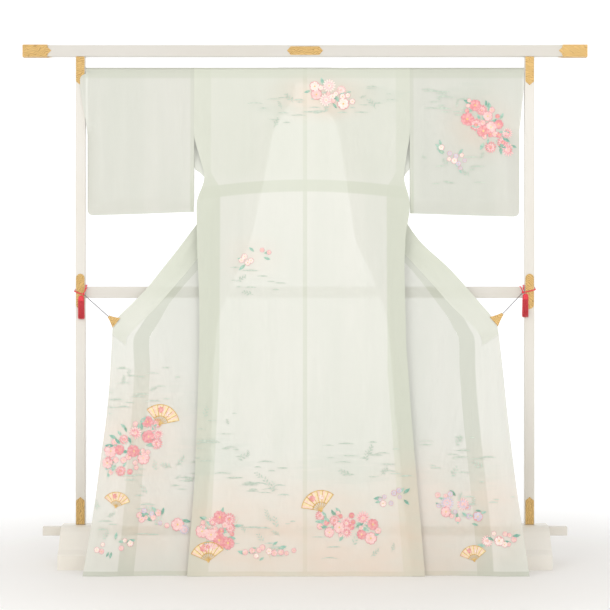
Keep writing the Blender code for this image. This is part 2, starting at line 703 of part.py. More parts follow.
def sleeve_grid(side, layer):
    inner = SLEEVE_INNER[side] + SEAM / 2
    fold_reach = CUFF_EDGES[side][0].reach
    grid = []
    for angle in reversed(POLE_ANGLES):
        columns = np.linspace(inner, fold_reach, SLEEVE_COLUMNS)
        grid.append([over_pole(side * x, angle, layer) for x in columns])
    for height in SLEEVE_ROWS:
        reach = cuff_reach(side, height) if layer < 0 else min(cuff_reach(side, height), 0.6970)
        columns = np.linspace(inner, reach, SLEEVE_COLUMNS)
        grid.append([sleeve_point(side, x, height, layer) for x in columns])
    for share in SLEEVE_SHARES:
        lift = (1 - share) * (ARMHOLE_BOTTOM - SLEEVE_BOTTOM[side][1])
        inset = 0.0
        if lift < SLEEVE_CORNER:
            inset = SLEEVE_CORNER - math.sqrt(SLEEVE_CORNER ** 2 - (SLEEVE_CORNER - lift) ** 2)
        reach = cuff_reach(side, 1.2) - inset
        row = []
        for x in np.linspace(inner, reach, SLEEVE_COLUMNS):
            t = (x - inner) / (cuff_reach(side, 1.2) - inner)
            bottom = SLEEVE_BOTTOM[side][0] + (SLEEVE_BOTTOM[side][1] - SLEEVE_BOTTOM[side][0]) * t
            row.append(sleeve_point(side, x, ARMHOLE_BOTTOM + (bottom - ARMHOLE_BOTTOM) * share, layer))
        grid.append(row)
    return grid


def build_kimono(mint, collar_mint):
    for side, word in ((-1, "left"), (1, "right")):
        sheet_solid(f"back_{word}", [with_normals(back_grid(side), level_end=True)], CLOTH, mint)
        sheet_solid(f"front_{word}", [front_grid(side)], CLOTH, mint)
        sheet_solid(f"okumi_{word}", [okumi_grid(side)], CLOTH, mint)
        sheet_solid(f"sleeve_{word}_back", [with_normals(sleeve_grid(side, -1))], CLOTH, mint)
        sheet_solid(f"sleeve_{word}_front", [with_normals(sleeve_grid(side, 1))], CLOTH, mint)
    sheet_solid("collar", collar_patches(), COLLAR_CLOTH, collar_mint)


# Clips and tassels

def tip_frame(side):
    """Centre and normal of the collar's cloth where the clip bites it."""
    height = TIES[side].clip_jaw[1]
    along = smooth_value(SECTIONS[side], "edge", height) - 0.010
    centre = front_point(side, height, along)
    up = front_point(side, height + 0.012, along) - centre
    out = front_point(side, height, along - 0.02) - centre
    normal = np.cross(up, out)
    normal /= np.linalg.norm(normal)
    return centre, normal if normal[1] < 0 else -normal


def on_tip_plane(side, spot):
    """Lifts a spot of the front view onto the plane of the collar's end."""
    centre, normal = tip_frame(side)
    depth = centre[1] - (normal[0] * (spot[0] - centre[0]) + normal[2] * (spot[1] - centre[2])) / normal[1]
    return np.array([spot[0], depth, spot[1]])


def clip_grid(side):
    """A folded leaf: from the near jaw back to the narrow end, around it and out to the far jaw."""
    normal = tip_frame(side)[1]
    apex = on_tip_plane(side, TIES[side].clip_apex)
    jaw = on_tip_plane(side, TIES[side].clip_jaw)
    length = float(np.linalg.norm(jaw - apex))
    forward = (jaw - apex) / length
    across = np.cross(forward, normal)
    half_gap = COLLAR_CLOTH / 2 + LEAF_CLEARANCE + LEAF / 2
    path = [(length * share, half_gap) for share in (1.0, 0.7, 0.4, 0.1)]
    path += [(-half_gap * math.sin(turn), half_gap * math.cos(turn)) for turn in np.linspace(0.4, math.pi - 0.4, 5)]
    path += [(length * share, -half_gap) for share in (0.1, 0.4, 0.7, 1.0)]
    grid = []
    for reach, lift in path:
        share = min(max(reach / length, 0.0), 1.0)
        half = APEX_HALF_WIDTH + (JAW_HALF_WIDTH - APEX_HALF_WIDTH) * share ** 1.2
        middle = apex + forward * reach + normal * lift
        grid.append([middle + across * half * step for step in (-1.0, -0.5, 0.0, 0.5, 1.0)])
    return grid


def knot_centre(side):
    front = RACK_Y - POST_SIZE / 2 - GAP - PLATE
    return np.array([TIES[side].knot_x, front - GAP - KNOT_RADIUS, TIES[side].knot_z])


def cord_ends(side):
    """The grey cord, from just behind the clip to just short of the knot."""
    normal = tip_frame(side)[1]
    apex = on_tip_plane(side, TIES[side].clip_apex)
    jaw = on_tip_plane(side, TIES[side].clip_jaw)
    forward = (jaw - apex) / np.linalg.norm(jaw - apex)
    half_gap = COLLAR_CLOTH / 2 + LEAF_CLEARANCE + LEAF
    start = apex - forward * (half_gap + GAP + 0.0009)
    knot = knot_centre(side)
    reach = (knot - start) / np.linalg.norm(knot - start)
    return start, knot - reach * (KNOT_RADIUS + GAP)


def tie_route(side):
    """The red cord: from the knot across the upright, around it and back over the middle rail."""
    knot = knot_centre(side)
    clear = GAP + TIE_RADIUS
    near = RACK_Y - POST_SIZE / 2 - GAP - PLATE - clear
    far = RACK_Y + POST_SIZE / 2 + clear
    outer = side * (POST_X + POST_SIZE / 2 + clear)
    inner = side * (POST_INNER - clear)
    over = MIDDLE_RAIL_Z[1] + clear + 0.0006
    start = knot[0] + side * (KNOT_RADIUS + GAP + 0.0003)
    rise = knot[2] + 0.008
    return [
        (start, near, knot[2] + 0.0006),
        (0.5 * (start + outer), near - 0.0002, knot[2] + 0.004),
        (outer - side * 0.003, near - 0.0001, rise),
        (outer + side * 0.0004, near + 0.0035, rise + 0.001),
        (outer + side * 0.0004, far - 0.0035, rise + 0.008),
        (outer - side * 0.003, far + 0.0004, rise + 0.009),
        (inner + side * 0.003, far + 0.0004, over + 0.001),
        (inner - side * 0.0004, far - 0.0035, over + 0.001),
        (inner - side * 0.0006, near + 0.006, over + 0.001),
        (inner - side * 0.0012, near + 0.001, over - 0.001),
        (0.5 * (inner + knot[0]) - side * 0.0006, near - 0.0006, knot[2] + KNOT_RADIUS + 0.0035),
    ]


def tail_route(side):
    knot = knot_centre(side)
    step = np.array([-side * 0.42, -0.45, 0.80])
    step /= np.linalg.norm(step)
    start = knot + step * (KNOT_RADIUS + GAP)
    return [start, start + step * 0.010, start + step * 0.021 + np.array([-side * 0.001, 0.0, 0.0])]


def tassel_mesh(name, side, red):
    """A flattened tassel: a domed head whose flat underside is drawn down into separate strands."""
    across, deep = TASSEL_GRID
    tie = TIES[side]
    back = RACK_Y - POST_SIZE / 2 - GAP - PLATE - GAP
    centre = np.array([tie.tassel_x, back - TASSEL_HALF_DEPTH - 0.0002, tie.knot_z - 0.0034])
    shoulder = centre[2] - TASSEL_HEAD
    points = []
    top = {}
    under = {}
    for i in range(across + 1):
        for j in range(deep + 1):
            u = 2 * i / across - 1
            v = 2 * j / deep - 1
            disc_u = u * math.sqrt(1 - v * v / 2)
            disc_v = v * math.sqrt(1 - u * u / 2)
            lift = TASSEL_HEAD * math.sqrt(max(0.0, 1 - disc_u ** 2 - disc_v ** 2))
            x = centre[0] + TASSEL_HALF_WIDTH * disc_u
            y = centre[1] + TASSEL_HALF_DEPTH * disc_v
            under[i, j] = len(points)
            points.append((x, y, shoulder))
            if 0 < i < across and 0 < j < deep:
                top[i, j] = len(points)
                points.append((x, y, shoulder + lift))
            else:
                top[i, j] = under[i, j]
    faces = []
    for i in range(across):
        for j in range(deep):
            cell = [(i, j), (i + 1, j), (i + 1, j + 1), (i, j + 1)]
            rim = [under[key] for key in cell]
            if i in (0, across - 1) and j in (0, deep - 1) and (i == 0) != (j == 0):
                cell = cell[1:] + cell[:1]
            faces.append(tuple(top[key] for key in cell))
            corners = np.array([points[index] for index in rim])
            middle = corners.mean(axis=0)
            offset = middle - centre
            phase = math.sin(2.7 * i + 1.9 * j)
            drop = TASSEL_LENGTH - TASSEL_HEAD - 0.003 * (1 + phase)
            foot = middle + np.array([0.10 * offset[0] - side * 0.0012, 0.25 * min(offset[1], 0.0), -drop])
            root = len(points)
            points.extend(middle + (corner - middle) * 0.80 for corner in corners)
            tip = len(points)
            points.extend(foot + (corner - middle) * np.array([0.62, 0.62, 0.0]) for corner in corners)
            for k in range(4):
                n = (k + 1) % 4
                faces.append((rim[n], rim[k], root + k, root + n))
                faces.append((root + n, root + k, tip + k, tip + n))
            faces.append((tip + 3, tip + 2, tip + 1, tip))
    mesh_object(name, np.array(points), faces, red)


def build_knot(name, centre, red):
    rings = 5
    sides = 8
    points = [centre + np.array([0.0, 0.0, KNOT_RADIUS])]
    for ring in range(1, rings):
        polar = math.pi * ring / rings
        for k in range(sides):
            turn = 2 * math.pi * k / sides
            flat = KNOT_RADIUS * math.sin(polar)
            offset = (flat * math.cos(turn), flat * math.sin(turn), KNOT_RADIUS * math.cos(polar))
            points.append(centre + np.array(offset))
    points.append(centre - np.array([0.0, 0.0, KNOT_RADIUS]))
    last = len(points) - 1
    faces = []
    for k in range(sides):
        n = (k + 1) % sides
        faces.append((0, 1 + k, 1 + n))
        for ring in range(rings - 2):
            base = 1 + ring * sides
            faces.append((base + k, base + sides + k, base + sides + n, base + n))
        base = 1 + (rings - 2) * sides
        faces.append((base + k, last, base + n))
    mesh_object(name, np.array(points), faces, red, smooth=True)


def build_trimmings(gold, red, grey):
    for side, word in ((-1, "left"), (1, "right")):
        sheet_solid(f"clip_{word}", [with_normals(clip_grid(side))], LEAF, gold)
        tube(f"cord_{word}", np.linspace(*cord_ends(side), 3), CORD_RADIUS, 8, grey)
        tube(f"tie_{word}", curve_points(tie_route(side), 40), TIE_RADIUS, 6, red)
        tube(f"tail_{word}", curve_points(tail_route(side), 5), TIE_RADIUS * 0.8, 6, red)
        build_knot(f"knot_{word}", knot_centre(side), red)
        tassel_mesh(f"tassel_{word}", side, red)


def main():
    clear_scene()
    paint = make_material("white_paint", WHITE_PAINT, 0.45)
    gold = make_material("gold_brass", GOLD, 0.35, 1.0)
    red = make_material("red_silk_cord", RED, 0.6)
    grey = make_material("grey_cord", GREY, 0.7)
    mint = make_material("mint_silk", MINT, 0.75)
    collar_mint = make_material("mint_silk_collar", MINT_DEEP, 0.75)
    build_rack(paint)
    build_pole(paint)
    build_fittings(gold)
    build_kimono(mint, collar_mint)
    build_trimmings(gold, red, grey)


main()
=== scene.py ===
"""Looks for the sheer summer kimono on its rack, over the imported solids.

Laid out as a Blender add-on and run as a script. Metres, +Z up. The garment's back faces the viewer at -Y.
Left and right are as the viewer sees them. The shapes of the cloth come from the same sizes as the solids.
"""
import math
import random
from collections import namedtuple

import bpy
import numpy as np
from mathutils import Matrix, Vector
from mathutils.bvhtree import BVHTree


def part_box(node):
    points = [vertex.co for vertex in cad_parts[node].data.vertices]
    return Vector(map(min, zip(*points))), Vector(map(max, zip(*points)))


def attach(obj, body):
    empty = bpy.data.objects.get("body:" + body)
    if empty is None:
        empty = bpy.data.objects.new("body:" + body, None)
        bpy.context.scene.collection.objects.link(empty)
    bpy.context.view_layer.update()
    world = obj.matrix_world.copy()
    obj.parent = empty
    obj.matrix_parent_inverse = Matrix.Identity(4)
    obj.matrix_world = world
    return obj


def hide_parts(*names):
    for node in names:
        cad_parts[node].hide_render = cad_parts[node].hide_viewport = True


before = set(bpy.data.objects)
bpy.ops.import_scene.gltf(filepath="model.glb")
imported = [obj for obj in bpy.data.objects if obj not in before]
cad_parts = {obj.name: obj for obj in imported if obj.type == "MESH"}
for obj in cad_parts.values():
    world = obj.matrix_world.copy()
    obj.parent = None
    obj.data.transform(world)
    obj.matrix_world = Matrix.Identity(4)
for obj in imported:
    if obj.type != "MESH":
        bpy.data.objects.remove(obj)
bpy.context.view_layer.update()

bl_info = {
    "name": "Kimono on its rack",
    "version": (1, 0, 0),
    "blender": (4, 5, 0),
    "location": "3D View > Sidebar > Kimono",
    "description": "Builds the cloth, pattern, fittings and stage of a kimono on its rack",
    "category": "Object",
}

# Rack
RACK_Y = 0.0708
POLE_Z = 1.5737
POST_X = 0.717
POST_SIZE = 0.031
POST_INNER = POST_X - POST_SIZE / 2
GAP = 0.0003
PLATE = 0.0012
MIDDLE_RAIL_TOP = 0.886

# Cloth
CLOTH = 0.0012
WRAP = 0.0123 + CLOTH / 2
TURN_SHAPE = 0.4
COLLAR_FALL = 0.055
COLLAR_EXTRA = 0.0004
COLLAR_END = 0.738
HEM = 0.0008
ARMHOLE_BOTTOM = 1.376
FRONT_ARMHOLE_BOTTOM = 1.265
SLEEVE_INNER = {-1: 0.3536, 1: 0.3344}
SLEEVE_BOTTOM = {-1: (1.1240, 1.1134), 1: (1.1190, 1.1095)}
SLEEVE_CORNER = 0.018
SLEEVE_BLEND = 0.22
SEAM_HALF_GAP = 0.0008
LAP_DEPTH = 0.0066
LAP_START = 0.655
BACK_TOP = 1.565
SECTION_TOP = 1.530
FRONT_SEAM_TOP = 1.235
CUFF_STOP = 1.355
CUFF_BLEND = 0.045
SLEEVE_MIDDLE = 1.30
POCKET_MIDDLE = 1.20
FAR_SLEEVE_REACH = 0.6970

# One row for each height. side is the side seam, and fold is the turn of the front behind the back.
# okumi, collar and edge are distances along the cloth past that turn: where the front panel ends, where
# the collar starts and where it ends.
Section = namedtuple("Section", "height side fold okumi collar edge")
SECTIONS = {
    -1: [
        Section(1.530, 0.3536, 0.026, -0.069, -0.069, -0.012),
        Section(1.490, 0.3536, 0.036, -0.060, -0.060, -0.001),
        Section(1.450, 0.3536, 0.064, -0.030, -0.030, 0.030),
        Section(1.410, 0.3536, 0.090, -0.004, -0.004, 0.057),
        Section(1.376, 0.3536, 0.103, 0.009, 0.009, 0.070),
        Section(1.300, 0.3360, 0.117, 0.026, 0.026, 0.089),
        Section(1.235, 0.3203, 0.128, 0.042, 0.046, 0.115),
        Section(1.148, 0.3445, 0.148, 0.056, 0.078, 0.155),
        Section(1.040, 0.3431, 0.172, 0.087, 0.128, 0.212),
        Section(0.940, 0.3388, 0.212, 0.133, 0.163, 0.249),
        Section(0.880, 0.3356, 0.236, 0.162, 0.190, 0.273),
        Section(0.830, 0.3336, 0.258, 0.179, 0.211, 0.299),
        Section(0.787, 0.3332, 0.272, 0.189, 0.239, 0.328),
        Section(0.760, 0.3329, 0.277, 0.200, 0.261, 0.338),
        Section(0.720, 0.3326, 0.281, 0.217, 0.290, 0.336),
        Section(0.620, 0.3338, 0.288, 0.206, 0.290, 0.332),
        Section(0.500, 0.3367, 0.290, 0.208, 0.290, 0.336),
        Section(0.300, 0.3417, 0.296, 0.214, 0.290, 0.351),
        Section(0.140, 0.3515, 0.309, 0.210, 0.290, 0.356),
        Section(0.000, 0.3607, 0.322, 0.208, 0.290, 0.363),
    ],
    1: [
        Section(1.530, 0.3344, 0.026, -0.069, -0.069, -0.012),
        Section(1.490, 0.3344, 0.038, -0.058, -0.058, 0.001),
        Section(1.450, 0.3344, 0.068, -0.028, -0.028, 0.032),
        Section(1.410, 0.3344, 0.096, 0.001, 0.001, 0.060),
        Section(1.376, 0.3340, 0.108, 0.012, 0.012, 0.073),
        Section(1.300, 0.3227, 0.120, 0.028, 0.028, 0.092),
        Section(1.235, 0.3152, 0.130, 0.042, 0.046, 0.115),
        Section(1.148, 0.3335, 0.144, 0.056, 0.078, 0.150),
        Section(1.040, 0.3190, 0.160, 0.087, 0.122, 0.204),
        Section(0.940, 0.3152, 0.204, 0.139, 0.164, 0.264),
        Section(0.880, 0.3160, 0.228, 0.163, 0.194, 0.294),
        Section(0.830, 0.3166, 0.246, 0.182, 0.219, 0.319),
        Section(0.787, 0.3172, 0.258, 0.201, 0.251, 0.343),
        Section(0.760, 0.3176, 0.262, 0.211, 0.276, 0.354),
        Section(0.720, 0.3181, 0.266, 0.226, 0.299, 0.355),
        Section(0.620, 0.3239, 0.274, 0.219, 0.299, 0.356),
        Section(0.500, 0.3312, 0.282, 0.217, 0.299, 0.357),
        Section(0.300, 0.3456, 0.298, 0.217, 0.299, 0.359),
        Section(0.140, 0.3575, 0.313, 0.214, 0.299, 0.362),
        Section(0.000, 0.3668, 0.326, 0.207, 0.299, 0.366),
    ],
}

# How far behind the back panel the front's first leg hangs, and how far apart its two legs are at the turn.
Offset = namedtuple("Offset", "height at_side at_turn apart")
OFFSETS = [
    Offset(1.530, 0.0258, 0.0258, 0.026),
    Offset(1.376, 0.0258, 0.0258, 0.022),
    Offset(1.235, 0.0018, 0.0160, 0.014),
    Offset(0.900, 0.0018, 0.0090, 0.012),
    Offset(0.000, 0.0018, 0.0060, 0.012),
]

# Depth of the fronts' free edges, from the rack's plane.
EdgeDepth = namedtuple("EdgeDepth", "height depth")
EDGE_DEPTHS = [
    EdgeDepth(1.530, 0.034),
    EdgeDepth(1.376, 0.024),
    EdgeDepth(1.235, 0.000),
    EdgeDepth(1.040, -0.020),
    EdgeDepth(0.780, -0.045),
    EdgeDepth(0.400, -0.150),
    EdgeDepth(0.000, -0.288),
]

# Soft folds of the solids: x at the top and at the hem, width, depth at the hem and starting height.
Drape = namedtuple("Drape", "top_x hem_x width depth start")
DRAPES = [
    Drape(-0.560, -0.600, 0.040, -0.007, 0.74),
    Drape(-0.440, -0.450, 0.042, 0.006, 0.70),
    Drape(-0.150, -0.170, 0.060, 0.005, 0.90),
    Drape(0.130, 0.150, 0.060, 0.005, 0.90),
    Drape(0.430, 0.450, 0.042, 0.006, 0.70),
    Drape(0.560, 0.610, 0.040, -0.007, 0.74),
]

# Finer creases, towards the viewer: both ends, half width and depth.
Crease = namedtuple("Crease", "x0 z0 x1 z1 width depth")
FRONT_CREASES = [
    Crease(-0.585, 0.745, -0.640, 0.02, 0.011, 0.0042), Crease(-0.570, 0.735, -0.520, 0.02, 0.014, 0.0046),
    Crease(-0.545, 0.715, -0.455, 0.10, 0.010, 0.0032), Crease(-0.510, 0.690, -0.400, 0.02, 0.015, 0.0040),
    Crease(-0.470, 0.800, -0.372, 0.30, 0.008, 0.0026), Crease(-0.430, 0.900, -0.352, 1.05, 0.007, 0.0022),
    Crease(-0.520, 0.800, -0.365, 0.93, 0.007, 0.0024), Crease(-0.590, 0.600, -0.575, 0.02, 0.009, 0.0024),
    Crease(0.590, 0.745, 0.650, 0.02, 0.012, 0.0044), Crease(0.570, 0.735, 0.545, 0.02, 0.013, 0.0040),
    Crease(0.550, 0.715, 0.478, 0.02, 0.010, 0.0036), Crease(0.510, 0.700, 0.415, 0.06, 0.015, 0.0042),
    Crease(0.455, 0.800, 0.372, 0.36, 0.008, 0.0026), Crease(0.430, 0.880, 0.345, 1.02, 0.007, 0.0022),
    Crease(0.525, 0.805, 0.350, 0.95, 0.007, 0.0024), Crease(0.600, 0.560, 0.595, 0.02, 0.009, 0.0022),
]
BACK_CREASES = [
    Crease(-0.300, 1.180, -0.318, 0.02, 0.010, 0.0022), Crease(-0.215, 1.180, -0.235, 0.05, 0.016, 0.0026),
    Crease(-0.110, 0.950, -0.120, 0.02, 0.014, 0.0022), Crease(-0.045, 0.700, -0.060, 0.02, 0.012, 0.0018),
    Crease(0.052, 0.780, 0.066, 0.02, 0.012, 0.0020), Crease(0.190, 1.180, 0.214, 0.04, 0.016, 0.0026),
    Crease(0.255, 1.150, 0.292, 0.02, 0.010, 0.0022), Crease(-0.335, 1.500, -0.290, 1.26, 0.010, 0.0024),
    Crease(0.318, 1.500, 0.280, 1.26, 0.010, 0.0024), Crease(-0.160, 1.540, -0.180, 1.26, 0.016, 0.0014),
    Crease(0.150, 1.540, 0.172, 1.26, 0.016, 0.0014),
]
SLEEVE_CREASES = [
    Crease(-0.650, 1.520, -0.640, 1.15, 0.012, 0.0026), Crease(-0.560, 1.540, -0.575, 1.14, 0.016, 0.0022),
    Crease(-0.470, 1.540, -0.455, 1.15, 0.013, 0.0018), Crease(-0.400, 1.500, -0.385, 1.15, 0.010, 0.0024),
    Crease(0.640, 1.520, 0.630, 1.15, 0.012, 0.0026), Crease(0.545, 1.540, 0.560, 1.14, 0.016, 0.0022),
    Crease(0.455, 1.540, 0.440, 1.15, 0.013, 0.0018), Crease(0.385, 1.500, 0.368, 1.15, 0.010, 0.0024),
]

# Outer edge of each sleeve: fold over the pole, then down to the cuff's stop.
Cuff = namedtuple("Cuff", "height reach")
CUFF_EDGES = {
    -1: [
        Cuff(1.5737, 0.6995), Cuff(1.566, 0.7000), Cuff(1.559, 0.7130), Cuff(1.550, 0.7178),
        Cuff(1.530, 0.7180), Cuff(1.490, 0.7130), Cuff(1.450, 0.7065), Cuff(1.410, 0.6990),
        Cuff(1.376, 0.6960), Cuff(1.300, 0.6955), Cuff(1.100, 0.6955),
    ],
    1: [
        Cuff(1.5737, 0.6995), Cuff(1.566, 0.7000), Cuff(1.559, 0.7003), Cuff(1.550, 0.7003),
        Cuff(1.530, 0.6995), Cuff(1.490, 0.6960), Cuff(1.450, 0.6920), Cuff(1.410, 0.6880),
        Cuff(1.376, 0.6845), Cuff(1.300, 0.6850), Cuff(1.100, 0.6865),
    ],
}

# Cords, ties and tassels
Tie = namedtuple("Tie", "knot_x knot_z tassel_x")
TIES = {-1: Tie(-0.7065, 0.8620, -0.7140), 1: Tie(0.6955, 0.8680, 0.7030)}
TIE_RADIUS = 0.0020
KNOT_RADIUS = 0.0045
TASSEL_LENGTH = 0.078
TASSEL_HEAD = 0.017
TASSEL_HALF_WIDTH = 0.0105
TASSEL_HALF_DEPTH = 0.0050
STRAND_RADIUS = 0.00052
GOLDEN_TURN = 2.39996

WORDS = {-1: "left", 1: "right"}


def settings():
    return bpy.context.scene.kimono_looks


# Reading the tables

def smooth_value(rows, column, height):
    """Reads a column of a table at a height, by a monotone cubic through its rows."""
    ordered = sorted(rows, key=lambda row: row.height)
    z = [row.height for row in ordered]
    v = [getattr(row, column) for row in ordered]
    if height <= z[0]:
        return v[0]
    if height >= z[-1]:
        return v[-1]
    secants = [(v[i + 1] - v[i]) / (z[i + 1] - z[i]) for i in range(len(z) - 1)]
    slopes = [secants[0]]
    for before, after in zip(secants, secants[1:]):
        slopes.append(2 * before * after / (before + after) if before * after > 0 else 0.0)
    slopes.append(secants[-1])
    i = max(k for k in range(len(z) - 1) if z[k] <= height)
    span = z[i + 1] - z[i]
    t = (height - z[i]) / span
    return (
        (1 + 2 * t) * (1 - t) ** 2 * v[i]
        + t * (1 - t) ** 2 * span * slopes[i]
        + t * t * (3 - 2 * t) * v[i + 1]
        + t * t * (t - 1) * span * slopes[i + 1]
    )


def ease(value):
    value = min(max(value, 0.0), 1.0)
    return value * value * (3 - 2 * value)


def heights(top, bottom, step, *extra):
    """Rows from top to bottom, about a step apart, through the extra heights."""
    marks = sorted({top, bottom, *extra}, reverse=True)
    rows = [marks[0]]
    for high, low in zip(marks, marks[1:]):
        count = max(1, round((high - low) / step))
        rows += [high + (low - high) * (k + 1) / count for k in range(count)]
    return rows


# Shapes of the cloth

def creases(table, x, height):
    """Ridges towards the viewer along slanted lines, each strongest in its middle."""
    total = 0.0
    for crease in table:
        run_x = crease.x1 - crease.x0
        run_z = crease.z1 - crease.z0
        length = math.hypot(run_x, run_z)
        t = ((x - crease.x0) * run_x + (height - crease.z0) * run_z) / length ** 2
        if not -0.05 < t < 1.05:
            continue
        aside = ((x - crease.x0) * run_z - (height - crease.z0) * run_x) / length
        width = crease.width * (0.8 + 0.9 * max(t, 0.0))
        fade = ease(t / 0.22) * ease((1.05 - t) / 0.25)
        total += crease.depth * fade * math.exp(-((aside / width) ** 2))
    return -total * settings().crease_depth


def back_depth(height):
    """How far the back is from the rack's plane: it leans out more and more toward the hem."""
    fall = max(0.0, 1 - height / POLE_Z)
    return -WRAP - 0.060 * fall - 0.217 * fall ** 2.2


def drape_depth(x, height):
    total = 0.0
    for drape in DRAPES:
        if height < drape.start:
            fall = 1 - height / drape.start
            centre = drape.top_x + (drape.hem_x - drape.top_x) * fall
            total += drape.depth * ease(fall * 1.3) * math.exp(-(((x - centre) / drape.width) ** 2))
    return total


def front_side(side, height):
    seam = smooth_value(SECTIONS[side], "side", min(height, FRONT_SEAM_TOP))
    share = ease((height - FRONT_SEAM_TOP) / (FRONT_ARMHOLE_BOTTOM - FRONT_SEAM_TOP))
    return seam + (SLEEVE_INNER[side] - seam) * share


def front_row(side, height):
    """The values that the front's cloth needs at one height."""
    rows = SECTIONS[side]
    back = back_depth(height)
    return {
        "height": height,
        "fold": smooth_value(rows, "fold", height),
        "width": max(smooth_value(rows, "edge", height), 0.06),
        "outer": front_side(side, height),
        "back": back,
        "at_side": smooth_value(OFFSETS, "at_side", height),
        "at_turn": smooth_value(OFFSETS, "at_turn", height),
        "apart": smooth_value(OFFSETS, "apart", height),
        "free": max(smooth_value(EDGE_DEPTHS, "depth", height), back + 0.002),
    }


def front_point(side, row, along):
    """A point of the front's cloth: along is measured past its turn, below 0 before it."""
    turn = TURN_SHAPE * row["apart"]
    reach = math.hypot(along, turn)
    x = row["fold"] + reach - turn
    slide = ease((row["outer"] - x) / (row["outer"] - row["fold"]))
    first = row["back"] + row["at_side"] + (row["at_turn"] - row["at_side"]) * slide
    start = row["back"] + row["at_turn"] + row["apart"]
    share = min(max((x - row["fold"]) / row["width"], 0.0), 1.0)
    second = start + (row["free"] - start) * share
    blend = 0.5 * (1 + along / reach)
    depth = first + (second - first) * blend
    shape = drape_depth(side * x, row["height"]) + creases(FRONT_CREASES, side * x, row["height"])
    return (side * x, RACK_Y + depth + blend * shape, row["height"])


def front_start(row):
    turn = TURN_SHAPE * row["apart"]
    run = row["outer"] - row["fold"] + turn
    return -math.sqrt(run * run - turn * turn)


def spread(row, start, end, columns):
    """Places along the cloth, evenly spread but for closer ones around the turn at 0."""
    fine = np.linspace(start, end, 400)
    weight = fine / 0.055 + 2.4 * np.tanh(fine / (0.8 * row["apart"]))
    return np.interp(np.linspace(weight[0], weight[-1], columns), weight, fine)


def over_pole(x, angle, side_of_pole, radius=WRAP):
    turn = math.radians(angle)
    return (x, RACK_Y + side_of_pole * radius * math.cos(turn), POLE_Z + radius * math.sin(turn))


def back_grid(side):
    columns = 56
    grid = []
    for angle in np.linspace(90, 0, 7):
        grid.append([over_pole(side * x, angle, -1) for x in np.linspace(0.0, SLEEVE_INNER[side], columns)])
    for height in heights(BACK_TOP, HEM, 0.012, ARMHOLE_BOTTOM, FRONT_SEAM_TOP):
        width = smooth_value(SECTIONS[side], "side", min(height, SECTION_TOP))
        row = []
        for x in np.linspace(0.0, width, columns):
            calm = ease((width - x) / 0.05)
            shape = drape_depth(side * x, height) + creases(BACK_CREASES, side * x, height) * ease(x / 0.03)
            row.append((side * x, RACK_Y + back_depth(height) + calm * shape, height))
        grid.append(row)
    return grid


def front_grid(side):
    columns = 64
    top = front_row(side, SECTION_TOP)
    end = smooth_value(SECTIONS[side], "okumi", SECTION_TOP)
    grid = []
    for angle in np.linspace(90, 0, 7):
        places = spread(top, front_start(top), end, columns)
        grid.append([over_pole(front_point(side, top, along)[0], angle, 1) for along in places])
    for height in heights(SECTION_TOP, HEM, 0.012, ARMHOLE_BOTTOM, FRONT_SEAM_TOP):
        row = front_row(side, height)
        end = smooth_value(SECTIONS[side], "okumi", height)
        places = spread(row, front_start(row), end, columns)
        grid.append([front_point(side, row, along) for along in places])
    return grid


def okumi_grid(side):
    """The overlap panel: a sliver beside the collar that widens to the full panel under the collar's end."""
    grid = []
    for height in heights(1.170, HEM, 0.010, COLLAR_END):
        row = front_row(side, height)
        start = smooth_value(SECTIONS[side], "okumi", height)
        column = "collar" if height > COLLAR_END else "edge"
        end = smooth_value(SECTIONS[side], column, height)
        if height == COLLAR_END:
            # The panel widens at once below the collar's end, so a narrow row stands just above the wide one.
            above = front_row(side, height + 0.0008)
            seam = smooth_value(SECTIONS[side], "collar", height)
            grid.append([front_point(side, above, along) for along in np.linspace(start, seam, 24)])
        grid.append([front_point(side, row, along) for along in np.linspace(start, end, 24)])
    return grid


def neck_point(x, fall):
    """A point of the back neck: fall is the cloth's length down from the pole's crest."""
    quarter = WRAP * math.pi / 2
    if fall < quarter:
        return over_pole(x, math.degrees(math.pi / 2 - fall / WRAP), 1, WRAP + COLLAR_EXTRA)
    height = POLE_Z - (fall - quarter)
    share = ease((height - SECTION_TOP) / (POLE_Z - SECTION_TOP))
    return (x, RACK_Y + back_depth(height) + 2 * WRAP + COLLAR_EXTRA * share, height)


def collar_side(side, columns):
    """One half of the collar: from the middle of the back neck round the turn and down to the clip."""
    top = SECTIONS[side][0]
    row = front_row(side, top.height)
    neck_x = abs(front_point(side, row, top.edge)[0])
    seam_x = abs(front_point(side, row, top.collar)[0])
    shares = np.linspace(0.0, 1.0, columns)
    falls = COLLAR_FALL * (1 - shares)
    grid = [[neck_point(side * x * neck_x, fall) for fall in falls] for x in np.linspace(0.0, 1.0, 8)[:-1]]
    for turn in np.linspace(0.0, 1.0, 13):
        outer_x = neck_x + (seam_x - neck_x) * min(2 * turn, 1.0)
        outer_fall = COLLAR_FALL * max(2 * turn - 1, 0.0)
        row = []
        for share in shares:
            x = neck_x + (outer_x - neck_x) * share
            row.append(neck_point(side * x, COLLAR_FALL + (outer_fall - COLLAR_FALL) * share))
        grid.append(row)
    for height in heights(top.height, COLLAR_END, 0.010)[1:]:
        row = front_row(side, height)
        start = smooth_value(SECTIONS[side], "edge", height)
        end = smooth_value(SECTIONS[side], "collar", height)
        grid.append([front_point(side, row, along) for along in spread(row, end, start, columns)[::-1]])
    return grid


def cuff_reach(side, height):
    return smooth_value(CUFF_EDGES[side], "reach", height)


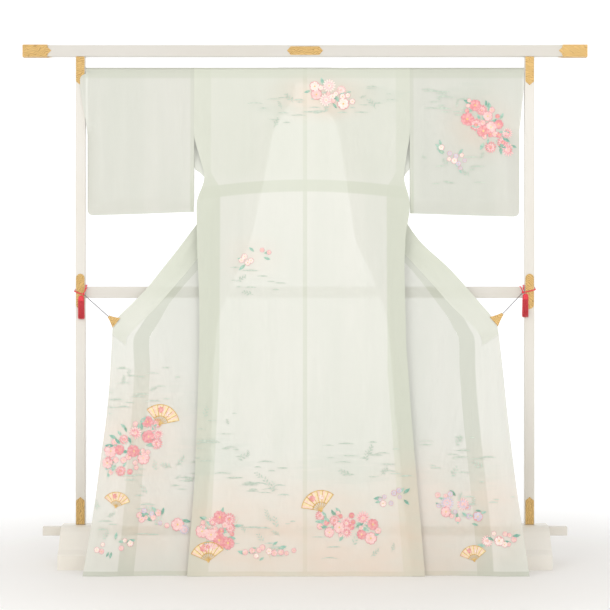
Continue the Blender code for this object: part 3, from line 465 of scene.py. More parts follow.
def sleeve_point(side, x, height, layer):
    """A point of a sleeve's near layer, -1, or far layer, 1. They meet at the bottom and below the cuff."""
    inner = SLEEVE_INNER[side]
    share = (x - inner) / (cuff_reach(side, SLEEVE_MIDDLE) - inner)
    bottom = SLEEVE_BOTTOM[side][0] + (SLEEVE_BOTTOM[side][1] - SLEEVE_BOTTOM[side][0]) * share
    middle = (back_depth(height) + WRAP) * (1 - ease((x - inner) / SLEEVE_BLEND))
    under_cuff = 1 - ease((height - CUFF_STOP) / CUFF_BLEND)
    open_end = 1 - under_cuff * (1 - ease((cuff_reach(side, height) - x) / CUFF_BLEND))
    open_bottom = ease((height - bottom) / 0.050)
    opened = open_end * open_bottom
    depth = middle + layer * (SEAM_HALF_GAP + (WRAP - SEAM_HALF_GAP) * opened)
    if layer < 0 and side < 0 and height > ARMHOLE_BOTTOM:
        depth -= LAP_DEPTH * ease((x - LAP_START) / 0.04) * ease((height - ARMHOLE_BOTTOM) / 0.05)
    depth += opened * ease((x - inner) / 0.03) * creases(SLEEVE_CREASES, side * x, height)
    return (side * x, RACK_Y + depth, height)


def sleeve_rows(side, layer, columns):
    inner = SLEEVE_INNER[side]
    rows = []
    for height in heights(1.566, ARMHOLE_BOTTOM, 0.010, 1.559, 1.550, SECTION_TOP):
        reach = cuff_reach(side, height)
        if layer > 0:
            reach = min(reach, FAR_SLEEVE_REACH)
        rows.append([sleeve_point(side, x, height, layer) for x in np.linspace(inner, reach, columns)])
    full = ARMHOLE_BOTTOM - SLEEVE_BOTTOM[side][1]
    for share in list(np.linspace(0.0, 0.93, 26)[1:]) + [0.945, 0.96, 0.975, 0.985, 0.993, 1.0]:
        lift = (1 - share) * full
        inset = 0.0
        if lift < SLEEVE_CORNER:
            inset = SLEEVE_CORNER - math.sqrt(SLEEVE_CORNER ** 2 - (SLEEVE_CORNER - lift) ** 2)
        reach = cuff_reach(side, POCKET_MIDDLE)
        row = []
        for x in np.linspace(inner, reach - inset, columns):
            t = (x - inner) / (reach - inner)
            bottom = SLEEVE_BOTTOM[side][0] + (SLEEVE_BOTTOM[side][1] - SLEEVE_BOTTOM[side][0]) * t
            row.append(sleeve_point(side, x, ARMHOLE_BOTTOM + (bottom - ARMHOLE_BOTTOM) * share, layer))
        rows.append(row)
    return rows


def sleeve_grid(side):
    """The whole sleeve strip: up the near layer, over the pole and down the far layer."""
    columns = 44
    crest = []
    places = np.linspace(SLEEVE_INNER[side], CUFF_EDGES[side][0].reach, columns)
    for angle in np.linspace(0, 180, 11):
        crest.append([over_pole(side * x, angle, -1) for x in places])
    return sleeve_rows(side, -1, columns)[::-1] + crest + sleeve_rows(side, 1, columns)


# Making objects

def keep(piece, slot, *nodes):
    """Puts a finished piece on the frame, in place of the nodes that it stands for."""
    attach(piece, "root")
    if nodes:
        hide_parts(*nodes)
    return piece


def mesh_object(name, points, faces, materials, smooth=True, indices=None):
    mesh = bpy.data.meshes.new(name)
    mesh.from_pydata([tuple(map(float, point)) for point in points], [], faces)
    for material in materials:
        mesh.materials.append(material)
    if indices is not None:
        mesh.polygons.foreach_set("material_index", indices)
    if smooth:
        mesh.shade_smooth()
    piece = bpy.data.objects.new(name, mesh)
    bpy.context.collection.objects.link(piece)
    return piece


def cloth_object(name, grid, material):
    """A sheet from a grid of points, with its UVs in metres along the threads."""
    grid = np.asarray(grid, dtype=float)
    rows, columns = grid.shape[:2]
    across = np.zeros((rows, columns))
    across[:, 1:] = np.cumsum(np.linalg.norm(np.diff(grid, axis=1), axis=2), axis=1)
    down = np.zeros(rows)
    down[1:] = np.cumsum(np.linalg.norm(np.diff(grid, axis=0), axis=2).mean(axis=1))
    faces = []
    for r in range(rows - 1):
        for c in range(columns - 1):
            i = r * columns + c
            faces.append((i, i + 1, i + columns + 1, i + columns))
    piece = mesh_object(name, grid.reshape(-1, 3), faces, [material])
    layer = piece.data.uv_layers.new(name="threads")
    for loop in piece.data.loops:
        r, c = divmod(loop.vertex_index, columns)
        layer.data[loop.index].uv = (across[r, c], down[r])
    return piece


def ring_faces(rings, sides):
    """Faces between rings of points that follow each other."""
    faces = []
    for ring in range(rings - 1):
        for k in range(sides):
            here = ring * sides + k
            there = ring * sides + (k + 1) % sides
            faces.append((here, here + sides, there + sides, there))
    return faces


def capped_faces(rings, sides):
    """Faces of a closed form made of rings, with its two ends first."""
    last = rings * sides - 1
    return [tuple(range(sides)), tuple(range(last, last - sides, -1)), *ring_faces(rings, sides)]


def tube_points(path, radius, sides, taper=1.0):
    """Rings of points along a path for a round tube, and its faces with closed ends."""
    path = np.asarray(path, dtype=float)
    tangents = np.gradient(path, axis=0)
    tangents /= np.linalg.norm(tangents, axis=1, keepdims=True)
    reference = np.array([0.0, 0.0, 1.0]) if abs(tangents[0][2]) < 0.9 else np.array([0.0, 1.0, 0.0])
    points = []
    for place, (point, tangent) in enumerate(zip(path, tangents)):
        side = np.cross(reference, tangent)
        side /= np.linalg.norm(side)
        reference = np.cross(tangent, side)
        size = radius * (1 + (taper - 1) * place / (len(path) - 1))
        for k in range(sides):
            turn = 2 * math.pi * k / sides
            points.append(point + size * (math.cos(turn) * side + math.sin(turn) * reference))
    return points, capped_faces(len(path), sides)


def joined(parts):
    """Puts several lists of points and faces together."""
    points = []
    faces = []
    for some_points, some_faces in parts:
        shift = len(points)
        points.extend(some_points)
        faces.extend(tuple(i + shift for i in face) for face in some_faces)
    return points, faces


def curve_points(route, count):
    """Evenly spread points on a smooth curve through a few route points."""
    route = np.asarray(route, dtype=float)
    steps = np.concatenate([[0], np.cumsum(np.linalg.norm(np.diff(route, axis=0), axis=1))])
    padded = np.vstack([2 * route[0] - route[1], route, 2 * route[-1] - route[-2]])
    result = []
    for distance in np.linspace(0, steps[-1], count):
        i = min(int(np.searchsorted(steps, distance, side="right")) - 1, len(route) - 2)
        t = (distance - steps[i]) / (steps[i + 1] - steps[i])
        a, b, c, d = padded[i : i + 4]
        square = (2 * a - 5 * b + 4 * c - d) * t * t
        cube = (3 * b - a - 3 * c + d) * t ** 3
        result.append(0.5 * (2 * b + (c - a) * t + square + cube))
    return result


# Materials

def linear(colour):
    """An sRGB colour of 0 to 255 as a linear one."""
    return tuple((c / 255 / 12.92) if c < 10.3 else ((c / 255 + 0.055) / 1.055) ** 2.4 for c in colour)


def picked(colour):
    """A colour from the sidebar as a linear one."""
    return linear([255 * c for c in colour])


def scaled(colour, shares):
    return tuple(c * share for c, share in zip(colour, shares))


class Graph:
    """Builds one material: values go into sockets as they are, and outputs of other nodes as links."""

    def __init__(self, name, roughness, metallic=0.0):
        self.material = bpy.data.materials.new(name)
        self.material.use_nodes = True
        self.tree = self.material.node_tree
        self.shader = self.tree.nodes["Principled BSDF"]
        self.shader.inputs["Roughness"].default_value = roughness
        self.shader.inputs["Metallic"].default_value = metallic
        self.position = self.node("ShaderNodeTexCoord", {}, output=3)

    def put(self, socket, value):
        if isinstance(value, bpy.types.NodeSocket):
            self.tree.links.new(value, socket)
        elif socket.type == "RGBA" and len(value) == 3:
            socket.default_value = (*value, 1.0)
        else:
            socket.default_value = value

    def node(self, kind, inputs, output=0, **options):
        node = self.tree.nodes.new(kind)
        for key, value in options.items():
            setattr(node, key, value)
        for key, value in inputs.items():
            self.put(node.inputs[key], value)
        return node.outputs[output]

    def maths(self, operation, first, second=0.0):
        return self.node("ShaderNodeMath", {0: first, 1: second}, operation=operation)

    def step(self, value, low, high):
        """0 at low, 1 at high, smooth between them."""
        inputs = {"Value": value, "From Min": low, "From Max": high}
        return self.node("ShaderNodeMapRange", inputs, interpolation_type="SMOOTHSTEP")

    def band(self, value, low, high, soft):
        """1 between low and high, with soft edges."""
        rise = self.step(value, low - soft, low + soft)
        fall = self.step(value, high + soft, high - soft)
        return self.maths("MULTIPLY", rise, fall)

    def mix(self, factor, first, second):
        return self.node("ShaderNodeMix", {0: factor, 6: first, 7: second}, output=2, data_type="RGBA")

    def noise(self, vector, scale, detail=3.0):
        return self.node("ShaderNodeTexNoise", {"Vector": vector, "Scale": scale, "Detail": detail})

    def stretched(self, vector, scale, place=(0.0, 0.0, 0.0)):
        return self.node("ShaderNodeMapping", {"Vector": vector, "Location": place, "Scale": scale})

    def spot(self, position, x, z, half_x, half_z):
        """A soft round patch in front view, 1 in its middle and 0 outside it."""
        place = (-x / half_x, 0.0, -z / half_z)
        around = self.stretched(position, (1 / half_x, 0.0, 1 / half_z), place)
        return self.node("ShaderNodeTexGradient", {"Vector": around}, output=1, gradient_type="SPHERICAL")

    def finish(self, colour, height=None, strength=0.2, distance=0.001):
        self.put(self.shader.inputs["Base Color"], colour)
        if height is not None:
            bump = self.node("ShaderNodeBump", {"Height": height, "Strength": strength, "Distance": distance})
            self.put(self.shader.inputs["Normal"], bump)
        return self.material


# Where the cloth lies double. The back's side seams lean outward below SPLAY_TOP. The tuck lies between two
# heights at the centre seam and drops to the sides. From there up the doubled stretches move inward and fade.
SPLAY_TOP = 0.62
TUCK = (1.189, 1.227)
TUCK_DROP = 0.24
WAIST = (1.19, 1.26)
WAIST_SHIFT = 0.030
SEAM_EDGE = 0.0030

PEACH_DYE = (240, 204, 180)
MIST_DYE = (190, 205, 190)

# Soft washes of colour on the cloth, in front view: middle, half sizes and strength.
Wash = namedtuple("Wash", "x z half_x half_z strength")
PEACH = [
    Wash(0.02, 0.05, 0.60, 0.34, 1.0), Wash(-0.22, 0.12, 0.30, 0.26, 0.8), Wash(0.36, 0.14, 0.34, 0.32, 0.85),
    Wash(-0.52, 0.38, 0.26, 0.34, 0.75), Wash(-0.48, 0.16, 0.24, 0.22, 0.65),
    Wash(0.56, 0.20, 0.20, 0.26, 0.7), Wash(0.05, 1.49, 0.22, 0.10, 0.75),
    Wash(0.56, 1.40, 0.17, 0.15, 0.7), Wash(-0.17, 0.98, 0.14, 0.10, 0.4),
]
MIST = [
    Wash(-0.50, 0.52, 0.30, 0.14, 1.0), Wash(-0.30, 0.36, 0.26, 0.13, 0.9), Wash(0.12, 0.32, 0.34, 0.12, 0.8),
    Wash(0.48, 0.30, 0.24, 0.13, 0.9), Wash(0.20, 1.50, 0.22, 0.06, 0.9), Wash(-0.08, 1.45, 0.18, 0.06, 0.7),
    Wash(0.52, 1.50, 0.14, 0.07, 0.9), Wash(-0.16, 0.90, 0.20, 0.07, 0.5),
]


def patches(graph, position, washes, scale):
    """The sum of some washes, broken up by a noise that is drawn out sideways."""
    total = None
    for wash in washes:
        spot = graph.spot(position, wash.x, wash.z, wash.half_x, wash.half_z)
        spot = graph.maths("MULTIPLY", spot, wash.strength)
        total = spot if total is None else graph.maths("MAXIMUM", total, spot)
    streaks = graph.noise(graph.stretched(position, scale), 1.0, 4.0)
    amount = graph.maths("MULTIPLY", graph.step(total, 0.0, 0.75), graph.maths("MULTIPLY", streaks, 1.35))
    return graph.maths("MINIMUM", amount, 1.0)


def doubled_masks(graph, across, x, z, marks, doubled, splay):
    """Masks of 1 where the cloth lies double: on stretches across it and at the places in marks."""
    masks = []
    above = graph.step(z, *WAIST)
    shift = graph.maths("MULTIPLY", above, WAIST_SHIFT if "tuck" in marks else 0.0)
    narrowed = graph.maths("SUBTRACT", across, shift)
    below = graph.maths("MAXIMUM", graph.maths("SUBTRACT", 1.0, graph.maths("DIVIDE", z, SPLAY_TOP)), 0.0)
    narrowed = graph.maths("SUBTRACT", narrowed, graph.maths("MULTIPLY", below, splay))
    fainter = graph.maths("SUBTRACT", 1.0, graph.maths("MULTIPLY", above, 0.4))
    for low, high in doubled:
        masks.append(graph.maths("MULTIPLY", graph.band(narrowed, low, high, SEAM_EDGE), fainter))
    if "tuck" in marks:
        drop = graph.maths("MULTIPLY", graph.maths("MULTIPLY", x, x), TUCK_DROP)
        masks.append(graph.band(graph.maths("ADD", z, drop), *TUCK, SEAM_EDGE))
        masks.append(graph.maths("MULTIPLY", above, 0.35))
    if "hem" in marks:
        masks.append(graph.step(z, 0.0160, 0.0130))
    if "centre" in marks:
        masks.append(graph.maths("MULTIPLY", graph.step(across, 0.0085, 0.0050), 0.8))
    if "shoulder" in marks:
        masks.append(graph.maths("MULTIPLY", graph.step(z, 1.548, 1.556), 0.7))
    if "whole" in marks:
        masks.append(graph.maths("SUBTRACT", 1.0, graph.maths("MULTIPLY", graph.step(z, 1.00, 0.77), 0.60)))
    return masks


def cloth_material(name, cover, tone, marks, doubled=(), deep=1.0, splay=0.0):
    """Sheer silk. doubled lists stretches across the cloth, in metres from its first edge, that lie double.

    marks names other doubled places: tuck, hem, centre, shoulder or whole. splay is how far the stretches
    lean outward from SPLAY_TOP down to the hem. tone gives a lighter or darker copy of the one silk for each
    piece: painted light and shade.
    """
    looks = settings()
    graph = Graph(name, 0.82)
    position = graph.position
    threads = graph.node("ShaderNodeUVMap", {}, uv_map="threads")
    across = graph.node("ShaderNodeSeparateXYZ", {0: threads})
    x = graph.node("ShaderNodeSeparateXYZ", {0: position})
    z = graph.node("ShaderNodeSeparateXYZ", {0: position}, output=2)
    # tone gives a lighter or darker copy of the one silk for each piece: painted light and shade.
    single = scaled(picked(looks.cloth), (tone, tone, tone))
    double = scaled(picked(looks.cloth_double), (tone * deep, tone * deep, tone * deep))
    clouds = graph.step(graph.noise(graph.stretched(position, (9.0, 9.0, 1.1)), 1.0), 0.30, 0.70)
    colour = graph.mix(clouds, single, scaled(single, (0.950, 0.964, 0.952)))
    for mask in doubled_masks(graph, across, x, z, marks, doubled, splay):
        colour = graph.mix(graph.maths("MULTIPLY", mask, looks.doubling), colour, double)
    if "whole" not in marks:
        peach = patches(graph, position, PEACH, (6.0, 6.0, 14.0))
        colour = graph.mix(graph.maths("MULTIPLY", peach, looks.wash), colour, linear(PEACH_DYE))
        streaks = graph.step(patches(graph, position, MIST, (9.0, 9.0, 75.0)), 0.34, 0.62)
        colour = graph.mix(graph.maths("MULTIPLY", streaks, 0.25 * looks.wash), colour, linear(MIST_DYE))
    pitch = {"Vector": threads, "Scale": 1 / looks.thread_pitch / 6.28, "Distortion": 1.2}
    warp = graph.node("ShaderNodeTexWave", pitch, output=1, bands_direction="X")
    weft = graph.node("ShaderNodeTexWave", pitch, output=1, bands_direction="Y")
    slubs = graph.noise(graph.stretched(threads, (420.0, 16.0, 1.0)), 1.0)
    rows = graph.noise(graph.stretched(threads, (16.0, 420.0, 1.0)), 1.0)
    weave = graph.maths("ADD", graph.maths("MULTIPLY", warp, weft), graph.maths("MAXIMUM", slubs, rows))
    colour = graph.mix(graph.maths("MULTIPLY", slubs, 0.10), colour, tuple(0.75 * c for c in double))
    graph.shader.inputs["Alpha"].default_value = cover
    graph.shader.inputs["Sheen Weight"].default_value = 0.12
    graph.shader.inputs["Sheen Roughness"].default_value = 0.5
    graph.shader.inputs["Specular IOR Level"].default_value = 0.2
    return graph.finish(colour, weave, 0.15, 0.0004)


def print_material(name, colour, light):
    """Dye on the cloth: uneven, as if painted wet."""
    graph = Graph(name, 0.85)
    blot = graph.step(graph.noise(graph.position, 130.0, 4.0), 0.35, 0.70)
    grain = graph.noise(graph.stretched(graph.position, (900.0, 900.0, 90.0)), 1.0)
    graph.shader.inputs["Specular IOR Level"].default_value = 0.2
    return graph.finish(graph.mix(blot, linear(colour), linear(light)), grain, 0.10, 0.0003)


# The rack's pieces by the start of their names, and how light the lacquer is painted on each: lighter and
# darker copies of one lacquer that stand for the light falling on each piece, painted light and shade.
PAINT_LIGHT_AND_SHADE = {
    "foot": 1.16, "top_rail": 0.87, "middle_rail": 0.93, "bottom_rail": 1.0, "upright": 1.0, "pole": 1.0,
}


def paint_material(name, tone):
    """Cream lacquer over wood: faint brush lines and a few warmer, duller patches."""
    graph = Graph(name, 0.38)
    # tone gives a lighter or darker copy of the lacquer: painted light and shade.
    colour = scaled(picked(settings().paint), (tone, tone, tone))
    strokes = graph.noise(graph.stretched(graph.position, (14.0, 240.0, 240.0)), 1.0)
    cloud = graph.noise(graph.position, 3.2)
    shade = graph.mix(graph.step(cloud, 0.35, 0.7), colour, scaled(colour, (0.975, 0.965, 0.94)))
    rough = graph.maths("ADD", graph.maths("MULTIPLY", graph.noise(graph.position, 22.0), 0.16), 0.30)
    graph.put(graph.shader.inputs["Roughness"], rough)
    graph.shader.inputs["Coat Weight"].default_value = 0.25
    graph.shader.inputs["Coat Roughness"].default_value = 0.25
    return graph.finish(shade, strokes, 0.10, 0.0004)


def gold_material():
    """Gilt fittings, engraved with scrolls over a punched ground, darker in the cuts."""
    graph = Graph("engraved_gilt", 0.42, 0.62)
    colour = picked(settings().gold)
    waves = {"Vector": graph.position, "Scale": 52.0, "Distortion": 9.0, "Detail": 1.5, "Detail Scale": 1.4}
    scroll = graph.node("ShaderNodeTexWave", waves, output=1, wave_type="RINGS", rings_direction="SPHERICAL")
    dots = graph.node("ShaderNodeTexVoronoi", {"Vector": graph.position, "Scale": 900.0})
    cut = graph.step(scroll, 0.30, 0.12)
    tone = graph.mix(graph.maths("MULTIPLY", cut, 0.85), colour, scaled(colour, (0.52, 0.44, 0.34)))
    # Random patches of lighter gilt.
    lighter_patches = graph.maths("MULTIPLY", graph.noise(graph.position, 60.0), 0.35)
    tone = graph.mix(lighter_patches, tone, linear((244, 214, 150)))
    relief = graph.maths("ADD", graph.maths("MULTIPLY", cut, -1.0), graph.maths("MULTIPLY", dots, 0.25))
    return graph.finish(tone, relief, 0.55, 0.0006)


def cord_material(name, colour, groove_shade, twist):
    """Twisted silk: slanting strands with painted shade in the grooves between them."""
    graph = Graph(name, 0.48)
    waves = {"Vector": graph.position, "Scale": twist, "Distortion": 0.6}
    strands = graph.node("ShaderNodeTexWave", waves, output=1, bands_direction="DIAGONAL")
    tone = graph.mix(graph.step(strands, 0.45, 0.05), colour, groove_shade)
    graph.shader.inputs["Sheen Weight"].default_value = 0.3
    return graph.finish(tone, strands, 0.5, 0.0005)


def material_once(name, make):
    return bpy.data.materials.get(name) or make()


# Pattern on the cloth

# How far the print stands off the cloth: its lowest layer, each next layer, and thirteen tiny steps between
# motifs of one layer, so that two that overlap don't share a plane. A motif follows the cloth's bulge up to
# a limit, and is left out where the cloth under it is too steep.
PRINT_LIFT = 0.0007
LAYER_LIFT = 0.00018
TINY_LIFT = 0.000012
BULGE_LIMIT = 0.0012
STEEP_LIMIT = 0.008

# Dyes of the print: the main colour and a lighter one.
PRINTS = {
    "petal_rose": ((233, 150, 154), (243, 186, 186)),
    "petal_pink": ((245, 198, 196), (249, 218, 214)),
    "petal_pale": ((249, 226, 217), (252, 239, 232)),
    "petal_lilac": ((212, 202, 216), (225, 217, 227)),
    "leaf_teal": ((152, 197, 179), (186, 215, 199)),
    "leaf_deep": ((124, 175, 157), (160, 201, 184)),
    "leaf_faint": ((190, 204, 188), (207, 216, 202)),
    "mist_line": ((192, 204, 189), (209, 216, 202)),
    "gold_line": ((212, 170, 100), (230, 196, 134)),
    "fan_cream": ((244, 220, 166), (248, 232, 194)),
    "fan_blush": ((245, 210, 190), (249, 224, 208)),
    "eye_yellow": ((236, 198, 124), (247, 220, 160)),
    "outline": ((224, 150, 155), (236, 177, 177)),
}


class Print:
    """Flat motifs in front view: each is a polygon of x and z with a colour and a layer."""

    def __init__(self):
        self.shapes = []

    def polygon(self, colour, layer, outline):
        self.shapes.append((colour, layer, outline))

    def ring(self, colour, layer, x, z, radius, count=10):
        turns = [2 * math.pi * k / count for k in range(count)]
        self.polygon(colour, layer, [(x + radius * math.cos(t), z + radius * math.sin(t)) for t in turns])

    def petal(self, colour, layer, x, z, angle, length, width, notch=0.0):
        """A rounded petal from the flower's middle outward, with a small notch at its tip."""
        outline = []
        for along, across in ((0.04, 0.10), (0.35, 0.72), (0.70, 1.0), (0.92, 0.74), (1.0, 0.28)):
            outline.append((along * length, across * width / 2))
        outline.append(((1.0 - notch) * length, 0.0))
        outline += [(along, -across) for along, across in reversed(outline[:-1])]
        self.polygon(colour, layer, [turned(x, z, angle, along, across) for along, across in outline])

    def blossom(self, x, z, radius, angle, colour, rim):
        """A five-petalled blossom with a rim colour under each petal, a round eye and stamens."""
        for k in range(5):
            turn = angle + 2 * math.pi * k / 5
            self.petal(rim, 1, x, z, turn, radius, radius * 1.02, 0.10)
            self.petal(colour, 2, x, z, turn, radius * 0.90, radius * 0.84, 0.10)
        self.ring("eye_yellow", 3, x, z, radius * 0.17)
        for k in range(10):
            turn = angle + 2 * math.pi * (k + 0.5) / 10
            tip = turned(x, z, turn, radius * 0.42, 0.0)
            self.ring("eye_yellow", 3, *tip, radius * 0.045, 5)

    def rosette(self, x, z, radius, angle, colour, inner):
        """A many-petalled flower in two rings."""
        for count, share, shade, layer in ((14, 1.0, colour, 1), (11, 0.68, inner, 2), (7, 0.38, colour, 3)):
            for k in range(count):
                turn = angle + 2 * math.pi * (k + 0.5 * (layer % 2)) / count
                length = radius * share
                self.petal(shade, layer, x, z, turn, length, 2.3 * length / count * 1.6)
        self.ring("eye_yellow", 4, x, z, radius * 0.10, 7)

    def leaf(self, x, z, angle, length, colour, vein=True):
        outline = []
        for along, across in ((0.0, 0.03), (0.25, 0.72), (0.50, 1.0), (0.75, 0.66), (1.0, 0.0)):
            outline.append((along * length, across * length * 0.19))
        outline += [(along, -across) for along, across in reversed(outline[:-1])]
        self.polygon(colour, 1, [turned(x, z, angle, along, across) for along, across in outline])
        if vein:
            rib = [(0.06, 0.012), (0.85, 0.0), (0.06, -0.012)]
            self.polygon("gold_line", 2, [turned(x, z, angle, a * length, b * length) for a, b in rib])

    def line(self, colour, layer, start, end, width):
        angle = math.atan2(end[1] - start[1], end[0] - start[0])
        length = math.hypot(end[0] - start[0], end[1] - start[1])
        corners = ((0, -width / 2), (length, -width / 2), (length, width / 2), (0, width / 2))
        self.polygon(colour, layer, [turned(*start, angle, along, across) for along, across in corners])

    def fan(self, x, z, radius, angle, opening=2.1):
        """An open folding fan: cream and blush leaf, gold ribs and gold rims."""
        steps = 14
        turns = [angle - opening / 2 + opening * k / steps for k in range(steps + 1)]
        rings = [0.42 + 0.145 * k for k in range(5)]
        for k, (before, after) in enumerate(zip(turns, turns[1:])):
            shade = ("fan_cream", "fan_blush")[k % 2]
            for inner, outer in zip(rings, rings[1:]):
                corners = [(before, inner), (before, outer), (after, outer), (after, inner)]
                self.polygon(shade, 1, [turned(x, z, t, radius * share, 0.0) for t, share in corners])
            for share in (0.42, 0.98):
                ends = [turned(x, z, t, radius * share, 0.0) for t in (before, after)]
                self.line("gold_line", 3, *ends, radius * 0.045)
        for turn in turns[::2]:
            for k in range(6):
                ends = [turned(x, z, turn, radius * share / 6, 0.0) for share in (k, k + 1)]
                self.line("gold_line", 2, *ends, radius * 0.035)
        self.ring("gold_line", 4, x, z, radius * 0.07, 8)
        flower = turned(x, z, angle + 0.3, radius * 0.72, 0.0)
        self.blossom(*flower, radius * 0.17, angle, "petal_rose", "outline")
        flower = turned(x, z, angle - 0.4, radius * 0.66, 0.0)
        self.blossom(*flower, radius * 0.12, angle, "petal_pale", "outline")

    def stroke(self, colour, layer, x, z, length, width, bow):
        """A level brush stroke that swells in its middle and bows up or down."""
        upper = []
        lower = []
        for k in range(9):
            t = k / 8
            along = x + length * (t - 0.5)
            middle = z + bow * 4 * t * (1 - t)
            half = width / 2 * math.sin(math.pi * t)
            upper.append((along, middle + half))
            lower.append((along, middle - half))
        self.polygon(colour, layer, [upper[1], lower[1], lower[0]])
        for k in range(1, 7):
            self.polygon(colour, layer, [upper[k], upper[k + 1], lower[k + 1], lower[k]])
        self.polygon(colour, layer, [upper[7], upper[8], lower[7]])

    def sprig(self, x, z, angle, length, colour):
        """A thin stem with small leaves on both sides."""
        tip = turned(x, z, angle, length, 0.0)
        self.line(colour, 0, (x, z), tip, length * 0.035)
        for k in range(6):
            spot = turned(x, z, angle, length * (0.22 + 0.14 * k), 0.0)
            away = angle + (0.85 if k % 2 else -0.85)
            self.leaf(*spot, away, length * (0.34 - 0.025 * k), colour, vein=False)

    def lay(self, name, sheet, neighbours):
        """Makes the mesh of the motifs whose middle is on the sheet, in front of it and its neighbours."""
        own = cloth_tree([sheet])
        tree = cloth_tree([sheet, *neighbours])
        colours = list(PRINTS)
        points = []
        faces = []
        indices = []
        for place, (colour, layer, outline) in enumerate(self.shapes):
            middle = np.mean(outline, axis=0)
            if in_front(own, *middle) is None:
                continue
            hits = [in_front(tree, x, z) for x, z in outline]
            if any(hit is None for hit in hits):
                continue
            if max(hit.y for hit in hits) - min(hit.y for hit in hits) > STEEP_LIMIT:
                continue
            bulge = sum(hit.y for hit in hits) / len(hits) - in_front(tree, *middle).y
            lift = PRINT_LIFT + LAYER_LIFT * layer + TINY_LIFT * (place % 13)
            lift += min(max(bulge, 0.0), BULGE_LIMIT)
            faces.append(tuple(range(len(points), len(points) + len(hits))))
            points.extend((hit.x, hit.y - lift, hit.z) for hit in hits)
            indices.append(colours.index(colour))
        materials = [material_once(key, lambda key=key: print_material(key, *PRINTS[key])) for key in colours]
        piece = mesh_object(name, points, faces, materials, smooth=False, indices=indices)
        return keep(piece, "mint_silk")


def cloth_tree(sheets):
    """A search tree over the faces of some sheets."""
    parts = []
    for sheet in sheets:
        corners = [vertex.co for vertex in sheet.data.vertices]
        parts.append((corners, [tuple(face.vertices) for face in sheet.data.polygons]))
    return BVHTree.FromPolygons(*joined(parts))


def in_front(tree, x, z):
    """The point that the viewer's side shows at an x and z."""
    return tree.ray_cast(Vector((x, -3.0, z)), Vector((0.0, 1.0, 0.0)))[0]


def turned(x, z, angle, along, across):
    return (
        x + along * math.cos(angle) - across * math.sin(angle),
        z + along * math.sin(angle) + across * math.cos(angle),
    )


# Sprays of flowers: page, middle, half sizes, slant, numbers of large flowers, small flowers and leaves, and
# the main petals.
Spray = namedtuple("Spray", "page x z half_x half_z slant large small leaves petals")
SPRAYS = [
    Spray("sleeve", 0.585, 1.400, 0.110, 0.048, -0.85, 12, 10, 30, ("petal_rose", "petal_pink")),
    Spray("sleeve", 0.475, 1.300, 0.055, 0.022, -0.70, 0, 9, 7, ("petal_lilac", "petal_pale")),
    Spray("back", 0.080, 1.500, 0.080, 0.028, -0.35, 6, 8, 12, ("petal_pale", "petal_pink")),
    Spray("back", -0.155, 0.985, 0.055, 0.020, 0.50, 0, 6, 5, ("petal_pale", "petal_pink")),
    Spray("lower_left", -0.535, 0.385, 0.105, 0.062, 0.75, 13, 12, 36, ("petal_rose", "petal_pink")),
    Spray("lower_left", -0.440, 0.165, 0.085, 0.022, -0.25, 2, 9, 9, ("petal_lilac", "petal_pink")),
    Spray("lower_left", -0.590, 0.090, 0.055, 0.018, 0.20, 0, 6, 5, ("petal_pale", "petal_pink")),
    Spray("back", -0.270, 0.135, 0.060, 0.050, 0.40, 9, 8, 16, ("petal_rose", "petal_pink")),
    Spray("back", -0.110, 0.075, 0.090, 0.018, 0.10, 0, 10, 7, ("petal_pink", "petal_pale")),
    Spray("back", 0.130, 0.150, 0.100, 0.036, -0.20, 10, 10, 22, ("petal_pink", "petal_rose")),
    Spray("back", 0.275, 0.235, 0.050, 0.020, 0.30, 0, 7, 5, ("petal_lilac", "petal_pale")),
    Spray("lower_right", 0.475, 0.200, 0.080, 0.034, -0.45, 4, 9, 12, ("petal_pink", "petal_lilac")),
    Spray("lower_right", 0.600, 0.110, 0.060, 0.022, 0.15, 2, 6, 7, ("petal_pink", "petal_pale")),
]
Fan = namedtuple("Fan", "page x z radius angle")
FANS = [
    Fan("lower_left", -0.455, 0.455, 0.062, 1.25), Fan("back", -0.296, 0.045, 0.058, 1.70),
    Fan("back", 0.050, 0.195, 0.062, 1.95), Fan("lower_left", -0.585, 0.205, 0.046, 1.40),
    Fan("lower_right", 0.520, 0.045, 0.046, 1.75),
]

# Groups of level brush strokes and pale sprigs: page, middle, half sizes and number.
Haze = namedtuple("Haze", "page x z half_x half_z strokes sprigs")
HAZES = [
    Haze("lower_left", -0.520, 0.560, 0.130, 0.075, 22, 3),
    Haze("lower_left", -0.440, 0.300, 0.110, 0.070, 16, 6),
    Haze("lower_left", -0.540, 0.150, 0.110, 0.060, 10, 6),
    Haze("back", -0.260, 0.420, 0.085, 0.090, 16, 2),
    Haze("back", -0.170, 0.300, 0.120, 0.060, 18, 5),
    Haze("back", 0.200, 0.350, 0.130, 0.060, 18, 4),
    Haze("back", 0.020, 0.110, 0.250, 0.060, 14, 12),
    Haze("back", -0.160, 0.900, 0.100, 0.050, 9, 2),
    Haze("back", 0.150, 1.490, 0.130, 0.050, 16, 3),
    Haze("back", -0.070, 1.440, 0.110, 0.050, 12, 3),
    Haze("sleeve", 0.475, 1.470, 0.090, 0.045, 18, 3),
    Haze("sleeve", 0.500, 1.250, 0.110, 0.050, 9, 4),
    Haze("lower_right", 0.470, 0.350, 0.100, 0.070, 16, 3),
    Haze("lower_right", 0.560, 0.230, 0.090, 0.060, 9, 4),
]


def scatter(rng, spray, count, apart, taken):
    """Seeded places inside a slanted oval, none closer to the others than asked."""
    places = []
    for _ in range(count * 60):
        if len(places) == count:
            break
        reach = math.sqrt(rng.random())
        turn = rng.random() * 2 * math.pi
        across = reach * math.cos(turn) * spray.half_x
        up = reach * math.sin(turn) * spray.half_z
        spot = turned(spray.x, spray.z, spray.slant, across, up)
        if all(math.dist(spot, other[:2]) > apart + other[2] for other in taken):
            places.append(spot)
            taken.append((*spot, apart))
    return places


